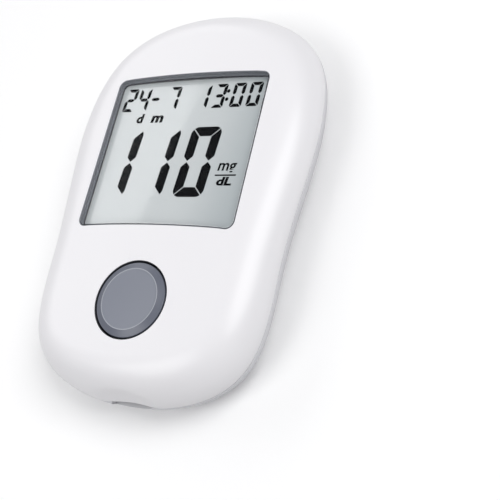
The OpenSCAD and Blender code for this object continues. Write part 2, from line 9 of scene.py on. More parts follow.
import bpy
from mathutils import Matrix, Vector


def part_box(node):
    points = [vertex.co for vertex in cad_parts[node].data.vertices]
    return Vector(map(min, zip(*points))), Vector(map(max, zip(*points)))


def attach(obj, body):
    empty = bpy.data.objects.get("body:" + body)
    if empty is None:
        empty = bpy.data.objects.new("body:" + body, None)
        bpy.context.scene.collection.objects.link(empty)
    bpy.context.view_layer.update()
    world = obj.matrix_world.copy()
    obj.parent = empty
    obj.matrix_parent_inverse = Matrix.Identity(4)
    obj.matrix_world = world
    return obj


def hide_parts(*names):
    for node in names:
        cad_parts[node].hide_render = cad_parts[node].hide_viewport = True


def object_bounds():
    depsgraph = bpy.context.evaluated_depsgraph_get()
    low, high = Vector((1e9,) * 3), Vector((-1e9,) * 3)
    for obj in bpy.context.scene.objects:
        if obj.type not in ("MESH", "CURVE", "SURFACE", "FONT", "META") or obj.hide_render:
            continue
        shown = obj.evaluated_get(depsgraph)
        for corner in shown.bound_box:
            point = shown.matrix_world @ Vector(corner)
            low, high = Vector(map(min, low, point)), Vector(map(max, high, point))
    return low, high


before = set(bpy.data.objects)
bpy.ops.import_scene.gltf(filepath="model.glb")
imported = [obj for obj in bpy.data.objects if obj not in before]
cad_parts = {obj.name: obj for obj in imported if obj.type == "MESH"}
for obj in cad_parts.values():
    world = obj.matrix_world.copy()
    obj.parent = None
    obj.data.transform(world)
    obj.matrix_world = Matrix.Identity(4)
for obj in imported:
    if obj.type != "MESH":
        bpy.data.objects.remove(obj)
CAD_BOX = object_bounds()

# %% Modules that come with Blender
import math

import bmesh
import bpy
from mathutils import Matrix, Vector

# %% [markdown]
# Sizes below are in millimetres, as a drawing of the meter would give them. They are
# turned to metres in one place only, where a list of points becomes a mesh.

# %% Scale and places read from the frame
MM = 0.001
HOUSING, BUTTON, DOOR = "housing", "button", "door"


def box_mm(node):
    low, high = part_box(node)
    return low / MM, high / MM


window_low, window_high = box_mm("display_window")
button_low, button_high = box_mm("main_button")
panel_high = box_mm("lcd_front_polariser")[1]
board_low, board_high = box_mm("circuit_board")
body_low, body_high = Vector(CAD_BOX[0]) / MM, Vector(CAD_BOX[1]) / MM
print("Meter: %.1f x %.1f x %.1f mm" % tuple(body_high - body_low))

# %% [markdown]
# ## Helpers for meshes
# Most pieces here are lofts: rings of points, one after another, joined by quads. A
# loft keeps its points in neat rows, so highlights run smoothly along it.

# %% From points in millimetres to an object
def new_piece(name, points, faces, material=None):
    mesh = bpy.data.meshes.new(name)
    mesh.from_pydata([Vector(p) * MM for p in points], [], faces)
    piece = bpy.data.objects.new(name, mesh)
    bpy.context.scene.collection.objects.link(piece)
    if material:
        mesh.materials.append(material)
    return piece


def loft(name, rings, hubs, material=None):
    """A closed skin through the rings. Each end closes on a middle point, its hub."""
    count, last = len(rings[0]), (len(rings) - 1) * len(rings[0])
    points = [p for ring in rings for p in ring] + list(hubs)
    faces = []
    for row in range(len(rings) - 1):
        for i in range(count):
            a, b = row * count + i, row * count + (i + 1) % count
            faces.append((a, b, b + count, a + count))
    for i in range(count):
        faces.append(((i + 1) % count, i, len(points) - 2))
        faces.append((last + i, last + (i + 1) % count, len(points) - 1))
    piece = new_piece(name, points, faces, material)
    face_outwards(piece)
    return piece


def edit(piece, work):
    """Runs work on the piece's mesh as a bmesh."""
    bm = bmesh.new()
    bm.from_mesh(piece.data)
    work(bm)
    bm.to_mesh(piece.data)
    bm.free()


def face_outwards(piece):
    edit(piece, lambda bm: bmesh.ops.recalc_face_normals(bm, faces=bm.faces))


# %% [markdown]
# A modifier is put on, evaluated and taken off again, so that what rides on a body is
# a plain mesh. Cutting one closed shape out of another is a Boolean modifier; its exact
# solver also carries the cutter's material over to the faces that it leaves.

# %% Modifiers that are baked at once
def bake(piece):
    graph = bpy.context.evaluated_depsgraph_get()
    mesh = bpy.data.meshes.new_from_object(piece.evaluated_get(graph))
    piece.modifiers.clear()
    piece.data = mesh


def modify(piece, kind, **settings):
    modifier = piece.modifiers.new(kind.title(), kind)
    for name, value in settings.items():
        setattr(modifier, name, value)
    bake(piece)


def combine(piece, others, operation):
    for other in others:
        modify(piece, "BOOLEAN", operation=operation, object=other, solver="EXACT",
               material_mode="TRANSFER")
        bpy.data.objects.remove(other)


def finish_piece(piece, body, replaces=(), crease=32):
    """Smooth shading with crisp creases, then the piece's body and the CAD nodes it hides."""
    piece.data.shade_smooth()
    piece.data.set_sharp_from_angle(angle=math.radians(crease))
    modify(piece, "WEIGHTED_NORMAL", keep_sharp=True, weight=80)
    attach(piece, body)
    if replaces:
        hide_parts(*replaces)
    faces = sum(len(f.vertices) - 2 for f in piece.data.polygons)
    print("  %s: %d triangles on %s" % (piece.name, faces, body))
    return piece


# %% [markdown]
# ## Helpers for materials
# One function turns a colour picked on a screen to linear light, and one adds a node
# with its settings and links. A finish is then a base colour that drifts a little, a
# roughness that does too, and a relief. A pattern's scale is the number of its features
# in a metre, because Object coordinates are in metres.

# %% Colour, nodes and scales
def linear(code):
    channels = [int(code[i:i + 2], 16) / 255 for i in (1, 3, 5)]
    return [c / 12.92 if c <= 0.04045 else ((c + 0.055) / 1.055) ** 2.4 for c in channels] + [1]


def per_metre(size_mm):
    return 1 / (size_mm * MM)


def add_node(owner, kind, links=(), values=(), **settings):
    """Adds a node to a material, a world or a tree. links and values pair an input with
    a socket or with a value."""
    tree = getattr(owner, "node_tree", owner)
    made = tree.nodes.new(kind)
    for name, value in settings.items():
        setattr(made, name, value)
    for name, value in dict(values).items():
        made.inputs[name].default_value = value
    for name, socket in dict(links).items():
        tree.links.new(socket, made.inputs[name])
    return made


def new_material(name, colour, roughness, **values):
    """A Principled material. values are its other sockets, written with underscores."""
    made = bpy.data.materials.new(name)
    made.use_nodes = True
    made.diffuse_color = linear(colour)
    shader = made.node_tree.nodes["Principled BSDF"]
    shader.inputs["Base Color"].default_value = linear(colour)
    shader.inputs["Roughness"].default_value = roughness
    for key, value in values.items():
        shader.inputs[key.replace("_", " ").replace("Ior", "IOR")].default_value = value
    print("  finish:", name)
    return made


def shader_of(material):
    return material.node_tree.nodes["Principled BSDF"]


def spot_on(material, stretch=(1, 1, 1)):
    """Where a point lies on the meter, so that a pattern stays put on its piece."""
    place = add_node(material, "ShaderNodeTexCoord").outputs["Object"]
    return add_node(material, "ShaderNodeMapping", {"Vector": place}, {"Scale": stretch}).outputs[0]


def grain(material, size_mm, detail=2.0, stretch=(1, 1, 1)):
    """Soft irregular marks of a real size, as moulds, rollers and brushes leave them."""
    return add_node(material, "ShaderNodeTexNoise", {"Vector": spot_on(material, stretch)},
                    {"Scale": per_metre(size_mm), "Detail": detail}).outputs["Fac"]


def relief(material, height, depth_mm, under=None):
    """Raises a pattern by a real depth. under is a relief that lies below this one."""
    links = {"Height": height, "Normal": under} if under else {"Height": height}
    made = add_node(material, "ShaderNodeBump", links, {"Distance": depth_mm * MM, "Strength": 1.0})
    material.node_tree.links.new(made.outputs[0], shader_of(material).inputs["Normal"])
    return made.outputs[0]


def vary(material, socket, low, high, factor):
    """Drives a socket of the shader between low and high by factor, a number from 0 to 1."""
    if isinstance(low, str):
        made = add_node(material, "ShaderNodeMix", {"Factor": factor}, {6: linear(low), 7: linear(high)},
                        data_type="RGBA")
        result = made.outputs[2]
    else:
        made = add_node(material, "ShaderNodeMapRange", {"Value": factor},
                        {"To Min": low, "To Max": high, "From Min": 0.3, "From Max": 0.7})
        result = made.outputs[0]
    material.node_tree.links.new(result, shader_of(material).inputs[socket])


# %% [markdown]
# ## Housing plastics
# Both covers are injection moulded in ABS. The front mould is polished, so the surface
# is a soft gloss with the faint unevenness, called orange peel, that polished plastic
# has. The rear mould is spark eroded, which leaves a fine matt grain. White ABS is
# never quite neutral: this one leans a little towards lavender in its shadows, which a
# base colour with slightly less green gives.

# %% Moulded ABS
white_abs = new_material("white_abs_polished", "#F3F2F5", 0.3)
vary(white_abs, "Roughness", 0.29, 0.32, grain(white_abs, 9.0, 3.0))
vary(white_abs, "Base Color", "#F2F1F4", "#F4F3F5", grain(white_abs, 14.0, 1.0))
relief(white_abs, grain(white_abs, 1.6, 1.0), 0.001)

grey_abs = new_material("pale_grey_abs_eroded", "#DCDCE0", 0.48)
vary(grey_abs, "Roughness", 0.42, 0.55, grain(grey_abs, 4.0, 3.0))
vary(grey_abs, "Base Color", "#D9D9DD", "#DFDFE2", grain(grey_abs, 11.0, 1.0))
# The grain of a spark eroded mould is about 0.1 mm; it is drawn at 0.3 mm to show
relief(grey_abs, grain(grey_abs, 0.3, 2.0), 0.02)

# %% [markdown]
# ## The meter's outline
# Seen from above, both ends are squared ellipses, and the sides widen gently from the
# button to the display. The joint line between the covers dips towards both ends, as a
# smile does. These few rules repeat the CAD model's, so the fine skins below land on it.

# %% Rules of the outline
BODY_LENGTH, TOP_WIDTH, BOTTOM_WIDTH = 85.0, 56.4, 51.8
REAR_DEPTH, FRONT_HEIGHT, CROWN, CROWN_REACH = 8.0, 6.4, 0.45, 20.0
FRONT_EDGE, REAR_EDGE, LOWER_DIP, UPPER_DIP = 7.7, 11.0, 2.3, 1.3
TOP_SQUARENESS, BOTTOM_SQUARENESS, FLANK_LOW, FLANK_HIGH = 4.4, 6.4, -16.0, 17.0
WALL, LIP, LIP_RISE, LIP_GAP, JOINT_GAP = 1.6, 1.0, 0.9, 0.25, 0.15
FRONT_Z = REAR_DEPTH + FRONT_HEIGHT


def ease(t):
    c = min(max(t, 0), 1)
    return c * c * (3 - 2 * c)


def rim(a):
    s = math.sin(a)
    y = BODY_LENGTH / 2 * s
    half = BOTTOM_WIDTH / 2 + (TOP_WIDTH - BOTTOM_WIDTH) / 2 * ease(
        (y - FLANK_LOW) / (FLANK_HIGH - FLANK_LOW))
    squareness = TOP_SQUARENESS if s > 0 else BOTTOM_SQUARENESS
    return Vector((math.copysign(half * math.sqrt(max(0, 1 - abs(s) ** squareness)), math.cos(a)), y))


def inset_rim(a, inset):
    t = rim(a + math.radians(0.5)) - rim(a - math.radians(0.5))
    return rim(a) + inset * Vector((-t.y, t.x)).normalized()


def joint_z(y):
    s = y / (BODY_LENGTH / 2)
    return REAR_DEPTH - (LOWER_DIP if s < 0 else UPPER_DIP) * s * s


def crowned(x):
    return FRONT_Z + CROWN * (1 - (x / CROWN_REACH) ** 2)


# %% [markdown]
# Rings are sampled once a degree, and four times as densely round the thumb scoop at
# the lower end, whose soft edge needs them.

# %% Angles of the rings
SCOOP_SPREAD = 17
angles = []
for degree in range(360):
    steps = 4 if abs(degree - 270) < SCOOP_SPREAD else 1
    angles += [math.radians(degree + k / steps) for k in range(steps)]
print("Points in a ring:", len(angles))

# %% [markdown]
# ## The scoop above the strip slot
# On the real cover a round scoop above the slot guides the strip in. It is a ball's
# shape pressed into the rounded end. Cutting a ball out would leave a knife edge, so
# every point of the skin is pushed back to the ball instead, with a blend between the
# two surfaces, and the edge comes out soft, as a polished mould gives it.

# %% Pressing a ball into the skin
SCOOP_RADIUS, SCOOP_DEPTH, SCOOP_RISE, SCOOP_BLEND = 30.0, 1.85, 7.5, 0.5
SCOOP_Y = -BODY_LENGTH / 2 - SCOOP_RADIUS + SCOOP_DEPTH
SCOOP_Z = REAR_DEPTH - LOWER_DIP + SCOOP_RISE


def larger(a, b, blend):
    """The larger of two values, rounded off where they meet."""
    share = max(blend - abs(a - b), 0) / blend
    return max(a, b) + share * share * blend / 4


def scooped(p):
    reach = math.hypot(p[0], p[1] - SCOOP_Y)
    ball = math.sqrt(max(SCOOP_RADIUS ** 2 - (p[2] - SCOOP_Z) ** 2, 0))
    moved = larger(reach, ball, SCOOP_BLEND) / reach
    return (p[0] * moved, SCOOP_Y + (p[1] - SCOOP_Y) * moved, p[2])


# %% [markdown]
# ## Front cover
# The skin runs from the middle of the inner face out to the joint, round a small edge
# radius, up the rounded side and over the crowned face to its middle again. The window
# opening, the button's hole and the posts are then cut or fused as they are in CAD.

# %% Rings of the front cover
EDGE_RADIUS = 0.2
SIDE_STEPS, FACE_SHARES = 34, [0.96, 0.9, 0.82, 0.74, 0.66, 0.58, 0.5, 0.42, 0.34, 0.26, 0.18]


def front_ring(skin, turn):
    ring = []
    for a in angles:
        p = inset_rim(a, FRONT_EDGE - (FRONT_EDGE - skin) * math.cos(turn))
        base = joint_z(rim(a).y) + JOINT_GAP
        ring.append((p.x, p.y, base + (crowned(p.x) - skin - base) * math.sin(turn)))
    return ring


def face_ring(skin, share):
    spots = [inset_rim(a, FRONT_EDGE) * share for a in angles]
    return [(p.x, p.y, crowned(p.x) - skin) for p in spots]


def joint_ring(inset, rise):
    """A ring that follows the joint line, at one inset and one height above it."""
    spots = [(inset_rim(a, inset), rim(a).y) for a in angles]
    return [(p.x, p.y, joint_z(y) + rise) for p, y in spots]


def turns(first, steps):
    return [first + (math.pi / 2 - first) * k / steps for k in range(steps + 1)]


first_turn = math.asin(EDGE_RADIUS / FRONT_HEIGHT)
inner = [front_ring(WALL, t) for t in turns(0, 8)]
edge = [joint_ring(EDGE_RADIUS * (1 - math.sin(t)), JOINT_GAP + EDGE_RADIUS * (1 - math.cos(t)))
        for t in (0, math.pi / 6, math.pi / 3)]
outer = [front_ring(0, t) for t in turns(first_turn, SIDE_STEPS)]
faces_out = [face_ring(0, share) for share in FACE_SHARES]
faces_in = [face_ring(WALL, share) for share in (0.75, 0.45)]
outside = [[scooped(p) for p in ring] for ring in edge + outer + faces_out]
front_rings = faces_in[::-1] + inner[::-1] + outside
front_cover = loft("front_cover_skin", front_rings, [(0, 0, crowned(0) - WALL), (0, 0, crowned(0))],
                   white_abs)

# %% [markdown]
# ## The window's opening
# The opening has slightly arched upper and lower edges. Its rim is rounded by 0.18 mm,
# as every moulded edge is. Its walls are painted grey as painted shade, standing for the
# shade on the well's white walls. The cutter is a loft of the same outline at growing
# depths, flared at the top for the rounding. It carries the grey painted shade, which the
# Boolean leaves on the walls it cuts.

# %% Grey painted shade and the window's outline
# Painted shade: this grey stands for the shade on the well's white walls
well_painted_shade = new_material("grey_mask_paint", "#83868D", 0.5)
vary(well_painted_shade, "Base Color", "#7E8188", "#888B92", grain(well_painted_shade, 3.0, 2.0))
relief(well_painted_shade, grain(well_painted_shade, 0.25, 2.0), 0.004)

FIT = 0.1
WINDOW_WIDTH = window_high.x - window_low.x + 2 * FIT
WINDOW_ARCH, WINDOW_CORNER, WINDOW_Y, WINDOW_HEIGHT = 0.44, 1.6, 7.7, 33.8
PANE, LEDGE, WINDOW_EDGE = 1.1, 0.25, 0.18


def window_outline(inset, corner_steps=10, edge_steps=24):
    """Points of the window's outline round its own middle."""
    x, y, r = WINDOW_WIDTH / 2 - WINDOW_CORNER, WINDOW_HEIGHT / 2, WINDOW_CORNER - inset
    points = []
    for quarter, (cx, cy) in enumerate([(x, y - WINDOW_CORNER), (-x, y - WINDOW_CORNER),
                                        (-x, WINDOW_CORNER - y), (x, WINDOW_CORNER - y)]):
        for k in range(corner_steps + 1):
            a = math.radians(90 * (quarter + k / corner_steps))
            points.append((cx + r * math.cos(a), cy + r * math.sin(a)))
        if quarter in (0, 2):
            side = 1 if quarter == 0 else -1
            for k in range(1, edge_steps):
                u = x * (1 - 2 * k / edge_steps)
                arch = WINDOW_ARCH * (1 - (2 * u / WINDOW_WIDTH) ** 2)
                points.append((side * u, side * (y - inset) + arch))
    return points


def window_ring(inset, drop):
    """The outline at one inset, drop below the crowned face."""
    return [(x, y + WINDOW_Y, crowned(x) - drop) for x, y in window_outline(inset)]


# %% Cutting the opening
flare = [(-WINDOW_EDGE * (1 - math.sin(t)), WINDOW_EDGE * (1 - math.cos(t)))
         for t in (0, math.pi / 8, math.pi / 4, math.pi * 3 / 8, math.pi / 2)]
cut_rings = [window_ring(-WINDOW_EDGE, -0.6)] + [window_ring(i, d) for i, d in flare]
cut_rings += [window_ring(0, PANE), window_ring(LEDGE, PANE), window_ring(LEDGE, 3)]
window_cutter = loft("window_cutter", cut_rings,
                     [(0, WINDOW_Y, FRONT_Z + 1.1), (0, WINDOW_Y, FRONT_Z - 2.6)], well_painted_shade)
combine(front_cover, [window_cutter], "DIFFERENCE")
print("Window opening: %.1f x %.1f mm" % (WINDOW_WIDTH, WINDOW_HEIGHT))

# %% [markdown]
# ## The button's hole, posts and collar
# The hole's rim is rounded in the same way, and its wall is painted a dark grey shade,
# standing for the shadow in the narrow gap; it draws a fine dark line round the button.
# Below the face, a collar stops the button and hollow posts take the screws; they only
# show in a section, and are plain cylinders.

# %% Round tools and the hole
# Painted shade: this dark grey stands for the shadow in the gap round the button
gap_painted_shade = new_material("dark_mask_paint", "#3A3C42", 0.6)
vary(gap_painted_shade, "Base Color", "#36383E", "#3F4147", grain(gap_painted_shade, 2.0, 2.0))
relief(gap_painted_shade, grain(gap_painted_shade, 0.25, 2.0), 0.003)
BUTTON_RADIUS, BUTTON_GAP = 7.45, 0.35
BUTTON_Y = (button_low.y + button_high.y) / 2
HOLE_RADIUS = BUTTON_RADIUS + BUTTON_GAP
HOLE_EDGE = 0.1


def circle(radius, z, count=192, middle=(0, 0)):
    steps = [2 * math.pi * i / count for i in range(count)]
    return [(middle[0] + radius * math.cos(a), middle[1] + radius * math.sin(a), z) for a in steps]


def turned(name, profile, middle=(0, 0), material=None, count=192):
    """A solid turned about Z from its profile of radius and height."""
    rings = [circle(r, z, count, middle) for r, z in profile]
    hubs = [(middle[0], middle[1], profile[0][1]), (middle[0], middle[1], profile[-1][1])]
    return loft(name, rings, hubs, material)


def on_crown(ring, drop):
    return [(x, y, crowned(x) - drop) for x, y, z in ring]


hole_rings = [on_crown(circle(HOLE_RADIUS + HOLE_EDGE, 0, 192, (0, BUTTON_Y)), -0.6)]
for k in range(5):
    t = math.pi / 2 * k / 4
    ring = circle(HOLE_RADIUS + HOLE_EDGE * (1 - math.sin(t)), 0, 192, (0, BUTTON_Y))
    hole_rings.append(on_crown(ring, HOLE_EDGE * (1 - math.cos(t))))
COLLAR_DROP, COLLAR_WALL = 0.4, 1.6
COLLAR_Z = FRONT_Z - WALL - COLLAR_DROP
hole_rings.append(circle(HOLE_RADIUS, COLLAR_Z - 0.5, 192, (0, BUTTON_Y)))
hole_cutter = loft("hole_cutter", hole_rings, [(0, BUTTON_Y, FRONT_Z + 1), (0, BUTTON_Y, COLLAR_Z - 0.5)],
                   gap_painted_shade)

ROOT_Z = FRONT_Z - WALL * 2 / 3
collar = turned("collar", [(HOLE_RADIUS + COLLAR_WALL, COLLAR_Z), (HOLE_RADIUS + COLLAR_WALL, ROOT_Z)],
                (0, BUTTON_Y), white_abs, 96)
SCREW_SPOTS = [(12, 32.5), (-12, 32.5), (14, -32), (-14, -32)]
BOARD_SCREW_SPOTS = [(19.5, -20), (-19.5, -20)]
BORE_TOP = 10.6
posts, bores = [], []
for spots, post_radius, foot_z, bore_radius in ((SCREW_SPOTS, 2.5, board_low.z + 0.2, 1.02),
                                                (BOARD_SCREW_SPOTS, 2, board_high.z, 0.82)):
    posts += [turned("post", [(post_radius, foot_z), (post_radius, ROOT_Z)], spot, white_abs, 48)
              for spot in spots]
    bores += [turned("bore", [(bore_radius, 0), (bore_radius, BORE_TOP)], spot, white_abs, 32)
              for spot in spots]
combine(front_cover, [collar] + posts, "UNION")
combine(front_cover, [hole_cutter] + bores, "DIFFERENCE")
finish_piece(front_cover, HOUSING, ["front_cover"])

# %% [markdown]
# ## Rear cover
# The rear cover is a shallow tray with a wide rounded edge. A lip stands inside its
# rim and locates the front cover. Its back has the battery bay and four deep screw
# holes. The slot for the strip is cut into its lower edge, right under the scoop.

# %% Rings of the rear cover
def rear_ring(skin, turn):
    ring = []
    for a in angles:
        p = inset_rim(a, REAR_EDGE - (REAR_EDGE - skin) * math.cos(turn))
        z = joint_z(rim(a).y)
        ring.append((p.x, p.y, z - (z - skin) * math.sin(turn)))
    return ring


def flat_ring(share, z):
    return [(p.x * share, p.y * share, z) for p in (inset_rim(a, REAR_EDGE) for a in angles)]


lip_inset = WALL + LIP_GAP
lip_turn = math.acos((REAR_EDGE - lip_inset - LIP) / (REAR_EDGE - WALL))
rear_edge = [joint_ring(EDGE_RADIUS * (1 - math.sin(t)), EDGE_RADIUS * (math.cos(t) - 1))
             for t in (math.pi / 3, math.pi / 6, 0)]
rear_outer = [rear_ring(0, t) for t in turns(math.asin(EDGE_RADIUS / REAR_DEPTH), 28)]
rear_rings = [flat_ring(0.9, 0), flat_ring(0.99, 0)] + rear_outer[::-1] + rear_edge
rear_rings += [joint_ring(lip_inset, 0), joint_ring(lip_inset, LIP_RISE - 0.1),
               joint_ring(lip_inset + 0.1, LIP_RISE), joint_ring(lip_inset + LIP - 0.1, LIP_RISE),
               joint_ring(lip_inset + LIP, LIP_RISE - 0.1)]
rear_rings += [rear_ring(WALL, t) for t in turns(lip_turn, 8)]
rear_cover = loft("rear_cover_skin", rear_rings, [(0, 0, 0), (0, 0, WALL)], grey_abs)

# %% [markdown]
# Boxes with rounded edges make the bay, its walls and the slot. They are cut or fused
# exactly where the CAD model has them.

# %% Bay walls and posts
BAY_Y, BAY_WIDTH, BAY_LENGTH, BAY_WALL, DOOR_LEDGE = 0.5, 21.0, 41.5, 1.4, 1.5
DOOR_SEAT_Z, NAIL_RADIUS, NAIL_DEPTH, NAIL_LENGTH = 1.45, 4.0, 0.7, 11.0
SLOT_WIDTH, SLOT_HEIGHT, CONNECTOR_Y = 9.2, 1.5, -38.9
SLOT_TOP = REAR_DEPTH - LOWER_DIP
SLOT_Z = SLOT_TOP - SLOT_HEIGHT


def box_piece(name, low, high, radius=0.0, axis="z", material=None):
    """A box whose edges along axis are rounded."""
    u, v, w = {"z": (0, 1, 2), "y": (2, 0, 1), "x": (1, 2, 0)}[axis]
    outline = []
    for quarter, (su, sv) in enumerate([(1, 1), (-1, 1), (-1, -1), (1, -1)]):
        for k in range(7 if radius else 1):
            t = math.radians(90 * (quarter + (k / 6 if radius else 0)))
            cu = (high[u] if su > 0 else low[u]) - su * radius
            cv = (high[v] if sv > 0 else low[v]) - sv * radius
            outline.append((cu + radius * math.cos(t), cv + radius * math.sin(t)))
    rings, hubs = [], []
    for level in (low[w], high[w]):
        for target, spots in ((rings, outline), (hubs, [((low[u] + high[u]) / 2, (low[v] + high[v]) / 2)])):
            placed = []
            for a, b in spots:
                point = [0, 0, 0]
                point[u], point[v], point[w] = a, b, level
                placed.append(tuple(point))
            target.append(placed if target is rings else placed[0])
    return loft(name, rings, hubs, material)


def centred(width, length, z0, z1):
    return (-width / 2, BAY_Y - length / 2, z0), (width / 2, BAY_Y + length / 2, z1)


outer_size = 2 * (DOOR_LEDGE + BAY_WALL)
walls = box_piece("walls", *centred(BAY_WIDTH + outer_size, BAY_LENGTH + outer_size, WALL / 2, board_low.z),
                  0, "z", grey_abs)
REAR_POST_RADIUS = 2.9
rear_posts = [turned("post", [(REAR_POST_RADIUS, WALL), (REAR_POST_RADIUS, board_low.z + 0.2)],
                     spot, grey_abs, 64) for spot in SCREW_SPOTS]
combine(rear_cover, [walls] + rear_posts, "UNION")

# %% [markdown]
# The door's seat has rounded lower corners, and bores at its upper end take the door's
# pins. A notch for the fingernail is a shallow cylinder pressed across its lower edge.

# %% Cutting the bay, the slot and the holes
BELOW, BAY_TOP, OUTSIDE = -1, 6.1, 1.5
SEAT_HALF, SEAT_LOW, SEAT_HIGH, SEAT_CORNER, SEAT_TOP = 12.0, -21.75, 22.75, 1.7, DOOR_SEAT_Z + 0.1
PIVOT_RADIUS, PIVOT_REACH, PIVOT_Y, PIVOT_Z = 0.47, 13.1, 21.9, 0.8
HEAD_HOLE, SHANK_HOLE, HEAD_SEAT, HOLE_ROUND = 2.1, 1.15, 3, 0.25
LIP_CUT_HALF = 7.2
DOOR_LOW = BAY_Y - BAY_LENGTH / 2 - DOOR_LEDGE + 0.2


def lying_across(name, radius, reach, y, z):
    """A cylinder along X, at one y and z."""
    made = turned(name, [(radius, -reach), (radius, reach)], (0, 0), grey_abs, 32 if radius < 1 else 192)
    made.data.transform(Matrix.Translation((0, y * MM, z * MM)) @ Matrix.Rotation(math.pi / 2, 4, "Y"))
    return made


bay = box_piece("bay", *centred(BAY_WIDTH, BAY_LENGTH, BELOW, BAY_TOP), 0, "z", grey_abs)
seat_spots = [(SEAT_HALF, SEAT_HIGH), (-SEAT_HALF, SEAT_HIGH)]
for cx, first in ((SEAT_CORNER - SEAT_HALF, 180), (SEAT_HALF - SEAT_CORNER, 270)):
    for k in range(10):
        t = math.radians(first + 10 * k)
        seat_spots.append((cx + SEAT_CORNER * math.cos(t),
                           SEAT_LOW + SEAT_CORNER + SEAT_CORNER * math.sin(t)))
seat = loft("seat", [[(x, y, z) for x, y in seat_spots] for z in (BELOW, SEAT_TOP)],
            [(0, 0, BELOW), (0, 0, SEAT_TOP)], grey_abs)
pivots = lying_across("pivots", PIVOT_RADIUS, PIVOT_REACH, PIVOT_Y, PIVOT_Z)
nail = lying_across("nail", NAIL_RADIUS, NAIL_LENGTH / 2, DOOR_LOW, NAIL_DEPTH - NAIL_RADIUS)
head_hole = [(HEAD_HOLE + HOLE_ROUND, -0.4), (HEAD_HOLE + HOLE_ROUND, 0), (HEAD_HOLE + 0.07, 0.07),
             (HEAD_HOLE, HOLE_ROUND), (HEAD_HOLE, HEAD_SEAT)]
holes = [turned("hole", head_hole, spot, grey_abs, 64) for spot in SCREW_SPOTS]
holes += [turned("hole", [(SHANK_HOLE, HEAD_SEAT - 0.1), (SHANK_HOLE, REAR_DEPTH)], spot, grey_abs, 32)
          for spot in SCREW_SPOTS]
slot_cut = box_piece("slot", (-SLOT_WIDTH / 2, -BODY_LENGTH / 2 - OUTSIDE, SLOT_Z),
                     (SLOT_WIDTH / 2, CONNECTOR_Y, SLOT_TOP + 1), 0.25, "y", grey_abs)
lip_cut = box_piece("lip_cut", (-LIP_CUT_HALF, -BODY_LENGTH / 2 + WALL, SLOT_Z - 1),
                    (LIP_CUT_HALF, CONNECTOR_Y + 1, FRONT_Z), 0, "z", grey_abs)
combine(rear_cover, [bay, seat, pivots, nail, slot_cut, lip_cut] + holes, "DIFFERENCE")
finish_piece(rear_cover, HOUSING, ["rear_cover"])

# %% [markdown]
# ## The clear window
# The window is a flat pane of clear acrylic, crowned with the cover so that it sits
# flush. Acrylic bends light by its index of 1.49, and that matters here: it makes the
# grey walls look shallower than they are. Its sides carry the same grey painted shade.
# does: a mix with plain refraction gives that. Light from lamps would be blocked by a
# refracting pane in this kind of renderer, so shadow rays and diffuse rays pass straight
# through, and only what is seen is bent.

# %% Clear acrylic
ACRYLIC_IOR, COATING = 1.49, 0.88
acrylic = new_material("clear_acrylic_coated", "#FFFFFF", 0.0, Ior=ACRYLIC_IOR, Transmission_Weight=1.0)
tree = acrylic.node_tree
unmirrored = add_node(acrylic, "ShaderNodeBsdfRefraction", values={"IOR": ACRYLIC_IOR, "Roughness": 0.0})
coated = add_node(acrylic, "ShaderNodeMixShader",
                  {1: shader_of(acrylic).outputs[0], 2: unmirrored.outputs[0]}, {0: COATING})
path = add_node(acrylic, "ShaderNodeLightPath")
either = add_node(acrylic, "ShaderNodeMath",
                  {0: path.outputs["Is Shadow Ray"], 1: path.outputs["Is Diffuse Ray"]},
                  operation="MAXIMUM")
clear = add_node(acrylic, "ShaderNodeBsdfTransparent", values={"Color": linear("#FCFDFD")})
choice = add_node(acrylic, "ShaderNodeMixShader",
                  {0: either.outputs[0], 1: coated.outputs[0], 2: clear.outputs[0]})
tree.links.new(choice.outputs[0], tree.nodes["Material Output"].inputs["Surface"])

# %% The pane
PANE_EDGE, PANE_LIFT = 0.12, 0.05
shares = [0.02, 0.15, 0.3, 0.45, 0.6, 0.75, 0.88, 0.96]


def shrunk(ring, share, drop):
    return [(x * share, WINDOW_Y + (y - WINDOW_Y) * share, crowned(x * share) - drop) for x, y, z in ring]


flat_edge = window_ring(FIT + PANE_EDGE, 0)
rings = [shrunk(flat_edge, s, 0) for s in shares]
rings += [window_ring(FIT + PANE_EDGE * (1 - math.sin(t)), PANE_EDGE * (1 - math.cos(t)))
          for t in (0, math.pi / 6, math.pi / 3, math.pi / 2)]
side_row = len(rings) - 1
rings += [window_ring(FIT, PANE - PANE_LIFT)]
rings += [shrunk(window_ring(FIT + 0.01, 0), s, PANE - PANE_LIFT) for s in shares[::-1]]
pane = loft("display_window_pane", rings,
            [(0, WINDOW_Y, crowned(0)), (0, WINDOW_Y, crowned(0) - PANE + PANE_LIFT)], acrylic)
# The pane's sides take the same grey painted shade
pane.data.materials.append(well_painted_shade)
ring_size = len(flat_edge)
for face in pane.data.polygons[side_row * ring_size:(side_row + 1) * ring_size]:
    face.material_index = 1
finish_piece(pane, HOUSING, ["display_window"])

# %% [markdown]
# ## The display
# A reflective liquid crystal panel has a pale, slightly green-grey ground: a polariser
# film over glass, with a reflector behind. The figures are dark where the crystal turns
# the light away. Each figure is up to seven bars with mitred ends and thin gaps.

# %% Display ground and dark figures
def dress(node, material):
    """Gives a material to a CAD node that is kept as it is."""
    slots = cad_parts[node].data.materials
    slots.clear()
    slots.append(material)


# The film has a clear hard coat, and that, more than the window, mirrors the lamps
panel_film = new_material("display_polariser_film", "#C4C9CA", 0.05, Specular_IOR_Level=0.9)
across = add_node(panel_film, "ShaderNodeSeparateXYZ", {"Vector": spot_on(panel_film)})
lean = add_node(panel_film, "ShaderNodeMath", {0: across.outputs["Y"], 2: across.outputs["X"]}, {1: -0.12},
                operation="MULTIPLY_ADD")
